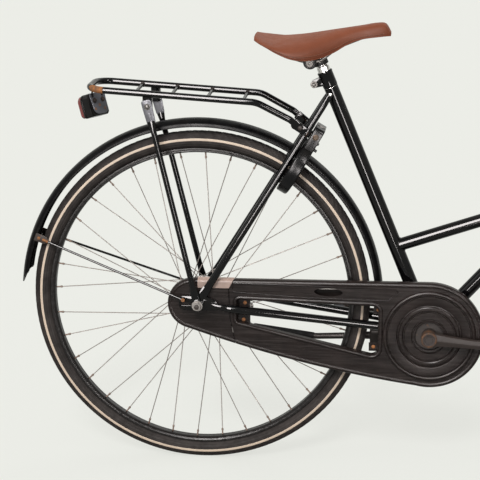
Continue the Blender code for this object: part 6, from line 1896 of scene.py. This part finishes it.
lever_foot = lock_point(LEVER_DEGREES, LOCK_RADIUS)
lever_end = lock_point(LEVER_DEGREES, LOCK_RADIUS + 0.021)
knob_foot = lock_point(LEVER_DEGREES, LOCK_RADIUS + 0.018)
lever_knob = [
    (0, 0), (0.0046, 0), (0.0062, 0.0012), (0.0065, 0.0030), (0.0065, 0.0105), (0.0058, 0.0128),
    (0.0040, 0.0140), (0, 0.0140),
]
bow = Shape().add(swept(lock_arc(LOCK_LOW + 0.5, 46, LOCK_RADIUS, 40), BOW_RADIUS, 20))
bow.add(rod(lever_foot, lever_end, 0.0022, 16))
bow.add(turned(lever_knob, knob_foot, (knob_foot - lever_foot).normalized(), 32), 1)
piece("ring_lock_bow", bow, "lock_shackle", [CHROME, SOFT_BLACK], "ring_lock_shackle")


# Mudguard stays


def guard_stay(centre, degrees, foot, foot_y, clip_y):
    """Two wires with eyes beside the axle, their pressed clips on the skirt and the rod between."""
    out, along = rising(degrees), rising(degrees + 90)
    bridge = centre + out * 0.3545
    shape = Shape()
    shape.add(rod(bridge - SIDE * (clip_y + 0.0008), bridge + SIDE * (clip_y + 0.0008), 0.0018, 16))
    clip = corners(flat([centre + out * reach + along * offset for reach, offset in (
        (0.3632, -0.0085), (0.3632, 0.0085), (0.3400, 0.0080), (0.3340, 0.0030), (0.3340, -0.0030),
        (0.3400, -0.0080),
    )]), [0.002, 0.002, 0.003, 0.002, 0.002, 0.003], 5)
    for side in (RIGHT, LEFT):
        way = SIDE * side
        shape.add(plate([clip], 0.0012, side * clip_y, 0.0004), 1)
        start = foot + way * foot_y
        end = centre + out * 0.3425 + way * (clip_y + 0.0016)
        run = (start - end).normalized()
        shape.add(swept(spread([start, end], 0.03), 0.0024, 16))
        shape.add(rod(end - run * 0.0040, end + run * 0.0090, 0.0030, 18, 0.0006), 2)
        rivet = [bridge + way * (clip_y + beyond) for beyond in (0.0006, 0.0030)]
        shape.add(rod(*rivet, 0.0034, 20, 0.0006), 2)
        eye = foot + way * (foot_y - 0.0022)
        shape.add(turned(collar(0.0022, 0.0050, 0, 0.0024, 0.0004, 0.0005), eye, way, 28, closed=True))
        shape.add(hexagon(eye + way * 0.0024, way, 0.0072, 0.0024), 2)
    return shape


rear_foot = REAR + Vector((-0.030, 0, 0.010))
front_foot = FRONT + Vector((-0.0165, 0, 0.0125))
rear_stay = guard_stay(REAR, degrees=160.0, foot=rear_foot, foot_y=0.0655, clip_y=0.0258)
piece("rear_mudguard_wires", rear_stay, "frame", [ENAMEL, DARK_RUST, ORANGE_RUST], "rear_mudguard_stay")
front_stay = guard_stay(FRONT, degrees=193.0, foot=front_foot, foot_y=0.0602, clip_y=0.0239)
piece("front_mudguard_wires", front_stay, "fork_body", [ENAMEL, DARK_RUST, DARK_RUST])


# Side stand and brake arm

STAND_AXIS = Vector((0, math.cos(math.radians(12)), math.sin(math.radians(12))))
STAND_PIVOT = at(0.360, 0.0415, 0.2625)
stand_back = rising(175)
STAND_WAY = (stand_back - STAND_AXIS * stand_back.dot(STAND_AXIS)).normalized()
stand_drop = STAND_WAY.cross(STAND_AXIS)
stand_drop = stand_drop if stand_drop.z < 0 else -stand_drop
stand_knee = STAND_PIVOT + STAND_WAY * 0.125 + stand_drop * 0.0170
stand_foot = STAND_PIVOT + STAND_WAY * 0.2560 + stand_drop * 0.0092
leg_path = spread(rounded([STAND_PIVOT + STAND_WAY * 0.004, stand_knee, stand_foot], [0.05], 8), 0.012)
# The leg is pressed a little at its eye and thins toward its foot.
leg_scale = []
for index in range(len(leg_path)):
    share = index / (len(leg_path) - 1)
    press = max(0.0, 1 - share * 7)
    leg_scale.append((1.0 + 0.35 * press - 0.14 * share, 1.0 - 0.12 * press - 0.14 * share))
leg = Shape().add(swept(leg_path, 0.0068, 28, leg_scale, up=STAND_WAY.cross(STAND_AXIS)))
leg_eye = collar(0.0045, 0.0115, -0.0075, 0.0075, 0.0007)
leg.add(turned(leg_eye, STAND_PIVOT, STAND_AXIS, 48, closed=True))
sleeve_way = (stand_foot - stand_knee).normalized()
sleeve_end = (stand_foot - stand_knee).length - 0.004
leg.add(turned([
    (0.0050, 0), (0.0066, 0), (0.0072, 0.0008), (0.0070, sleeve_end * 0.5), (0.0066, sleeve_end - 0.002),
    (0.0058, sleeve_end), (0, sleeve_end + 0.002), (0, sleeve_end - 0.004), (0.0050, sleeve_end - 0.004),
], stand_knee + sleeve_way * 0.004, sleeve_way, 32), 1)
piece("side_stand_prop", leg, "side_stand", [STAND_STEEL, SOFT_BLACK], "side_stand_leg")

mount = Shape().add(carved(block(at(0.352, -0.027, 0.2880), at(0.388, 0.0310, 0.2940))))
ahead = Vector((1, 0, 0))
cheek_place = frame_at(STAND_PIVOT - STAND_AXIS * 0.0100, ahead, STAND_AXIS.cross(ahead), STAND_AXIS)
mount.add(moved(block((-0.013, -0.0310, -0.0025), (0.015, 0.0130, 0.0015)), cheek_place))
piece("side_stand_mount", mount, "frame", DARK_RUST, "side_stand_bracket", round_off=0.0012)
pin = Shape().add(rod(STAND_PIVOT - STAND_AXIS * 0.0105, STAND_PIVOT + STAND_AXIS * 0.0095, 0.0040, 24))
pin.add(hexagon(STAND_PIVOT + STAND_AXIS * 0.0080, STAND_AXIS, 0.0128, 0.0040))
pin.add(hexagon(at(0.370, -0.0040, 0.2882), -UP, 0.0100, 0.0050))
piece("side_stand_pin", pin, "frame", DULL_STEEL)

arm_end = REAR + Vector((0.095, 0, -0.0326))
arm_outline = belt(REAR, 0.0160, arm_end, 0.0075, 36, 24)
arm = Shape().add(plate([arm_outline, axle_hole(REAR)], 0.0026, 0.0500, 0.0006))
strap_at = chainstay_point(0.088, LEFT)
strap_way = (chainstay_point(0.2, LEFT) - chainstay_point(0.1, LEFT)).normalized()
strap = collar(0.0079, 0.0097, -0.0070, 0.0070, 0.0004, 0.0006)
arm.add(turned(strap, strap_at, strap_way, 44, closed=True))
tie_low, tie_high = arm_end.z - 0.002, strap_at.z - 0.0082
arm.add(block((strap_at.x - 0.006, 0.0488, tie_low), (strap_at.x + 0.006, 0.0512, tie_high)))
arm.add(hexagon(Vector((strap_at.x, 0.0512, arm_end.z)), SIDE, 0.0085, 0.0036), 1)
piece("coaster_arm_plate", arm, "frame", [DULL_STEEL, CHROME], "coaster_brake_arm")


# Steering


def steering(height, ahead=0.0, y=0.0):
    """A point up the steering axis from the axle's foot, moved ahead and to a side."""
    return STEER_FOOT + HEAD_DIR * height + HEAD_AHEAD * ahead + SIDE * y


STEERER_TOP = 0.206
FORK_CROWN, FORK_TIP, FORK_BEND = 0.395, 0.006, 0.28
FORK_STEPS = 24
steerer = [
    (0.0114, -0.020), (0.0157, -0.020), (0.0165, -0.0192), (0.0165, -0.0010), (0.0158, 0.0004),
    (0.0140, 0.0015), (0.0135, 0.0022), (0.0135, STEERER_TOP - 0.001), (0.0128, STEERER_TOP),
    (0.0114, STEERER_TOP),
]
fork = Shape().add(turned(steerer, CROWN_RACE, HEAD_DIR, 48, closed=True))
shoulder = (0.0545, 0.0535, 0.0515, 0.0480, 0.0300, 0.0168)
shoulder_scale = [(0.45, 0.45), (0.72, 0.72), (0.92, 0.92), 1.0, 1.0, (0.98, 0.98)]
for side in (RIGHT, LEFT):
    line = [steering(FORK_CROWN, 0, side * y) for y in shoulder]
    fork.add(swept(line, 0.0125, 32, shoulder_scale, up=HEAD_DIR))
for side in (RIGHT, LEFT):
    path, scale = [], []
    for index in range(FORK_STEPS + 1):
        along = index / FORK_STEPS
        height = FORK_CROWN * (1 - along) + FORK_TIP * along
        share = max(0.0, 1 - height / FORK_BEND)
        path.append(steering(height, FORK_RAKE * share**2, side * (0.043 + 0.0075 * along)))
        size = 1.0 - 0.42 * along
        press = 1.0 - 0.42 * max(0.0, (along - 0.93) / 0.07)
        scale.append((size * press, size))
    fork.add(swept(path, 0.0115, 28, scale, up=SIDE))
    fork.add(plate([arc(FRONT, 0.0120, 0, 352, 44), axle_hole(FRONT)], 0.0045, side * 0.0505, 0.0008))
piece("fork_blades_and_crown", fork, "fork_body", ENAMEL, "fork")

HEADSET_BORE, HEADSET_CUP = 0.0139, 0.0190
lower_cup = [
    (HEADSET_BORE, 0.0034), (0.0165, 0.0034), (0.0172, 0.0040), (0.0182, 0.0058), (HEADSET_CUP, 0.0064),
    (HEADSET_CUP, 0.0110), (0.0184, 0.0117), (HEADSET_BORE, 0.0117),
]
lower_race = turned(lower_cup, CROWN_RACE, HEAD_DIR, 56, closed=True)
piece("lower_headset_race", lower_race, "frame", CHROME, "lower_headset_cup")
upper_cup = [
    (HEADSET_BORE, 0.0003), (0.0184, 0.0003), (HEADSET_CUP, 0.0010), (HEADSET_CUP, 0.0060), (0.0186, 0.0068),
    (0.0180, 0.0072), (0.0180, 0.0080), (HEADSET_CUP, 0.0086), (0.0188, 0.0112), (0.0172, 0.0140),
    (HEADSET_BORE, 0.0140),
]
head_washer = [(HEADSET_BORE, 0.0140), (0.0166, 0.0140), (0.0166, 0.0148), (HEADSET_BORE, 0.0148)]
upper_race = Shape().add(turned(upper_cup, HEAD_TOP, HEAD_DIR, 56, closed=True))
upper_race.add(carved(
    hexagon(HEAD_TOP + HEAD_DIR * 0.0148, HEAD_DIR, 0.0320, 0.0125),
    [("DIFFERENCE", cylinder(HEAD_TOP, HEAD_DIR, HEADSET_BORE, -0.02, 0.05))],
))
upper_race.add(turned(head_washer, HEAD_TOP, HEAD_DIR, 48, closed=True))
piece("upper_headset_race", upper_race, "frame", CHROME, "upper_headset_cup")

# The stem's arm leaves the quill a little upward.
STEM_DEGREES, STEM_REACH = 8, 0.055
stem_way = rising(STEM_DEGREES)
quill_base = HEAD_TOP + HEAD_DIR * 0.029
quill_top = quill_base + HEAD_DIR * 0.165
clamp_at = quill_top + stem_way * STEM_REACH
stem_line = rounded([quill_base - HEAD_DIR * 0.110, quill_top, clamp_at - stem_way * 0.012], [0.016], 5)
bar_clamp = [
    (0.0113, -0.0190), (0.0165, -0.0190), (0.0175, -0.0180), (0.0175, -0.0050), (0.0170, -0.0040),
    (0.0170, 0.0040), (0.0175, 0.0050), (0.0175, 0.0180), (0.0165, 0.0190), (0.0113, 0.0190),
]
quill_bolt = [
    (0, 0), (0.0076, 0), (0.0080, 0.0010), (0.0076, 0.0030), (0.0050, 0.0042), (0.0034, 0.0042),
    (0.0034, 0.0020), (0, 0.0020),
]
pinch = clamp_at + rising(STEM_DEGREES - 90) * 0.0185
stem = Shape().add(swept(spread(stem_line, 0.02), 0.0110, 40))
stem.add(turned(bar_clamp, clamp_at, SIDE, 56, closed=True))
stem.add(turned(quill_bolt, quill_top + HEAD_DIR * 0.0098 + stem_way * 0.002, HEAD_DIR, 36), 1)
stem.add(hexagon(pinch + stem_way * 0.0045, stem_way, 0.0090, 0.0050), 1)
stem.add(rod(pinch - stem_way * 0.0080, pinch + stem_way * 0.0050, 0.0040, 20), 1)
piece("stem_quill", stem, "bars", [CHROME, DULL_STEEL], "stem")

# The handlebar's left half, from the clamp to its open end.
HALF_BAR = [
    (0.0, 0.0, 0.0), (0.0, 0.055, 0.0), (0.030, 0.150, 0.030), (-0.020, 0.262, 0.052), (-0.130, 0.285, 0.046),
    (-0.262, 0.285, 0.030),
]
left_bar = [clamp_at + Vector(point) for point in HALF_BAR]
bar_bends = [0.055, 0.055, 0.04, 0.05]
bar_line = rounded(mirrored(left_bar)[:-1] + left_bar[1:], bar_bends + bar_bends[::-1], 5)
piece("handlebar_tube", swept(spread(bar_line, 0.03), 0.0111, 36), "bars", CHROME, "handlebar")


GRIP_RIDGES, GRIP_PITCH = 26, 0.0042


def grip(side, hand):
    """A ribbed rubber sleeve with a flange at its inner end and a closed outer end."""
    bend, end = [clamp_at + Vector((x, side * y, z)) for x, y, z in HALF_BAR[-2:]]
    way = (end - bend).normalized()
    ridge, groove = 0.0155, 0.0146
    profile = [(0.0114, 0.0), (0.0158, 0.0), (0.0164, 0.0010), (0.0164, 0.0034), (0.0156, 0.0046)]
    for step in range(GRIP_RIDGES):
        height = 0.0060 + GRIP_PITCH * step
        profile += [(ridge, height), (ridge, height + 0.0022)]
        profile += [(groove, height + 0.0028), (groove, height + 0.0036)]
    profile += [
        (0.0158, 0.1160), (0.0167, 0.1190), (0.0167, 0.1245), (0.0150, 0.1275), (0.0100, 0.1284), (0, 0.1285),
        (0, 0.1253), (0.0114, 0.1253),
    ]
    sleeve = turned(profile, end - way * 0.125, way, 44)
    piece(f"{hand}_grip_sleeve", sleeve, "bars", SOFT_BLACK, f"{hand}_grip")


for side, hand in HANDS:
    grip(side, hand)


# Four nodes show as they are packed, with a finish of their own.
PACKED_FINISHES = {
    "chainring": DARK_RUST, "chain": DULL_STEEL, "rear_sprocket": DULL_STEEL, "crank_axle": DARK_RUST,
}
for name, finish in PACKED_FINISHES.items():
    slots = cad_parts[name].data.materials
    slots.clear()
    slots.append(finish)


# Stage, light and camera

BACKDROP = (0.823, 0.831, 0.783)
FLOOR_HALF, FLOOR_GLOW = 30, 0.79


def seen_directly(tree):
    """A socket that is 1 for rays from the camera, a gloss or a glass, and 0 for all others."""
    path = tree.nodes.new("ShaderNodeLightPath")
    found = path.outputs["Is Camera Ray"]
    for kind in ("Is Glossy Ray", "Is Transmission Ray"):
        higher = tree.nodes.new("ShaderNodeMath")
        higher.operation = "MAXIMUM"
        tree.links.new(found, higher.inputs[0])
        tree.links.new(path.outputs[kind], higher.inputs[1])
        found = higher.outputs[0]
    return found


def stage():
    """A wide floor that the camera sees in nearly the backdrop's colour, with the bicycle's shadow on it."""
    mesh = bpy.data.meshes.new("floor")
    ends = ((-1, -1), (1, -1), (1, 1), (-1, 1))
    mesh.from_pydata([(x * FLOOR_HALF, y * FLOOR_HALF, 0) for x, y in ends], [], [(0, 1, 2, 3)])
    floor = bpy.data.objects.new("floor", mesh)
    scene.collection.objects.link(floor)
    made = bpy.data.materials.new("floor")
    made.use_nodes = True
    tree = made.node_tree
    tree.nodes.remove(tree.nodes["Principled BSDF"])
    matt = tree.nodes.new("ShaderNodeBsdfDiffuse")
    matt.inputs["Color"].default_value = (0.20, 0.203, 0.193, 1)
    glow = tree.nodes.new("ShaderNodeEmission")
    glow.inputs["Color"].default_value = (*BACKDROP, 1)
    lift = tree.nodes.new("ShaderNodeMath")
    lift.operation = "MULTIPLY"
    lift.inputs[1].default_value = FLOOR_GLOW
    tree.links.new(seen_directly(tree), lift.inputs[0])
    tree.links.new(lift.outputs[0], glow.inputs["Strength"])
    both = tree.nodes.new("ShaderNodeAddShader")
    tree.links.new(matt.outputs[0], both.inputs[0])
    tree.links.new(glow.outputs[0], both.inputs[1])
    tree.links.new(both.outputs[0], tree.nodes["Material Output"].inputs["Surface"])
    mesh.materials.append(made)


stage()

world = bpy.data.worlds.new("studio")
scene.world = world
world.use_nodes = True
tree = world.node_tree
ambient = tree.nodes["Background"]
ambient.inputs["Color"].default_value = (1.0, 1.0, 0.985, 1)
ambient.inputs["Strength"].default_value = 0.50
seen = tree.nodes.new("ShaderNodeBackground")
seen.inputs["Color"].default_value = (*BACKDROP, 1)
seen.inputs["Strength"].default_value = 1.0
choice = tree.nodes.new("ShaderNodeMixShader")
tree.links.new(seen_directly(tree), choice.inputs[0])
tree.links.new(ambient.outputs[0], choice.inputs[1])
tree.links.new(seen.outputs[0], choice.inputs[2])
tree.links.new(choice.outputs[0], tree.nodes["World Output"].inputs["Surface"])


def lamp(name, way, energy, angle):
    """A far soft light that shines from the direction way."""
    data = bpy.data.lights.new(name, "SUN")
    data.energy = energy
    data.angle = math.radians(angle)
    holder = bpy.data.objects.new(name, data)
    holder.rotation_mode = "QUATERNION"
    holder.rotation_quaternion = Vector(way).to_track_quat("Z", "Y")
    scene.collection.objects.link(holder)


lamp("key_light", (-0.08, -0.72, 0.66), energy=1.35, angle=16)
lamp("fill_light", (-0.80, -0.25, 0.55), energy=0.45, angle=40)
lamp("back_light", (0.35, 0.75, 0.60), energy=0.40, angle=40)


def softbox(name, centre, width, height, radiance):
    """A strip light that shows in glossy surfaces and adds nothing to the diffuse light."""
    data = bpy.data.lights.new(name, "AREA")
    data.shape = "RECTANGLE"
    data.size, data.size_y = width, height
    data.energy = radiance * math.pi * width * height
    data.color = (1.0, 0.95, 0.93)
    holder = bpy.data.objects.new(name, data)
    holder.location = centre
    holder.rotation_mode = "QUATERNION"
    holder.rotation_quaternion = (Vector(centre) - Vector((-0.1, 0, 0.55))).to_track_quat("Z", "Y")
    holder.visible_camera = False
    holder.visible_diffuse = False
    scene.collection.objects.link(holder)


softbox("tall_softbox", (-2.9, -11.6, 5.4), width=3.2, height=10.8, radiance=60)
softbox("right_softbox", (6.5, -8.0, 7.0), width=1.4, height=4.0, radiance=60)
softbox("low_strip", (0.2, -2.5, 0.46), width=0.42, height=0.86, radiance=45)

# The camera as fitted to the photograph.
CAMERA_PLACE, CAMERA_LENS = (-0.0714, -3.6191, 1.4149), 138.0
CAMERA_HEADING, CAMERA_TILT = -6.2, 14.5525
camera_data = bpy.data.cameras.new("photo_view")
camera_data.lens = CAMERA_LENS
camera_data.sensor_width = 36
camera_data.clip_end = 100
camera = bpy.data.objects.new("photo_view", camera_data)
scene.collection.objects.link(camera)
heading, tilt = math.radians(CAMERA_HEADING), math.radians(CAMERA_TILT)
forward = Vector((math.sin(heading) * math.cos(tilt), math.cos(heading) * math.cos(tilt), -math.sin(tilt)))
camera.location = CAMERA_PLACE
camera.rotation_mode = "QUATERNION"
camera.rotation_quaternion = forward.to_track_quat("-Z", "Y")
scene.camera = camera
scene.view_settings.view_transform = "Standard"
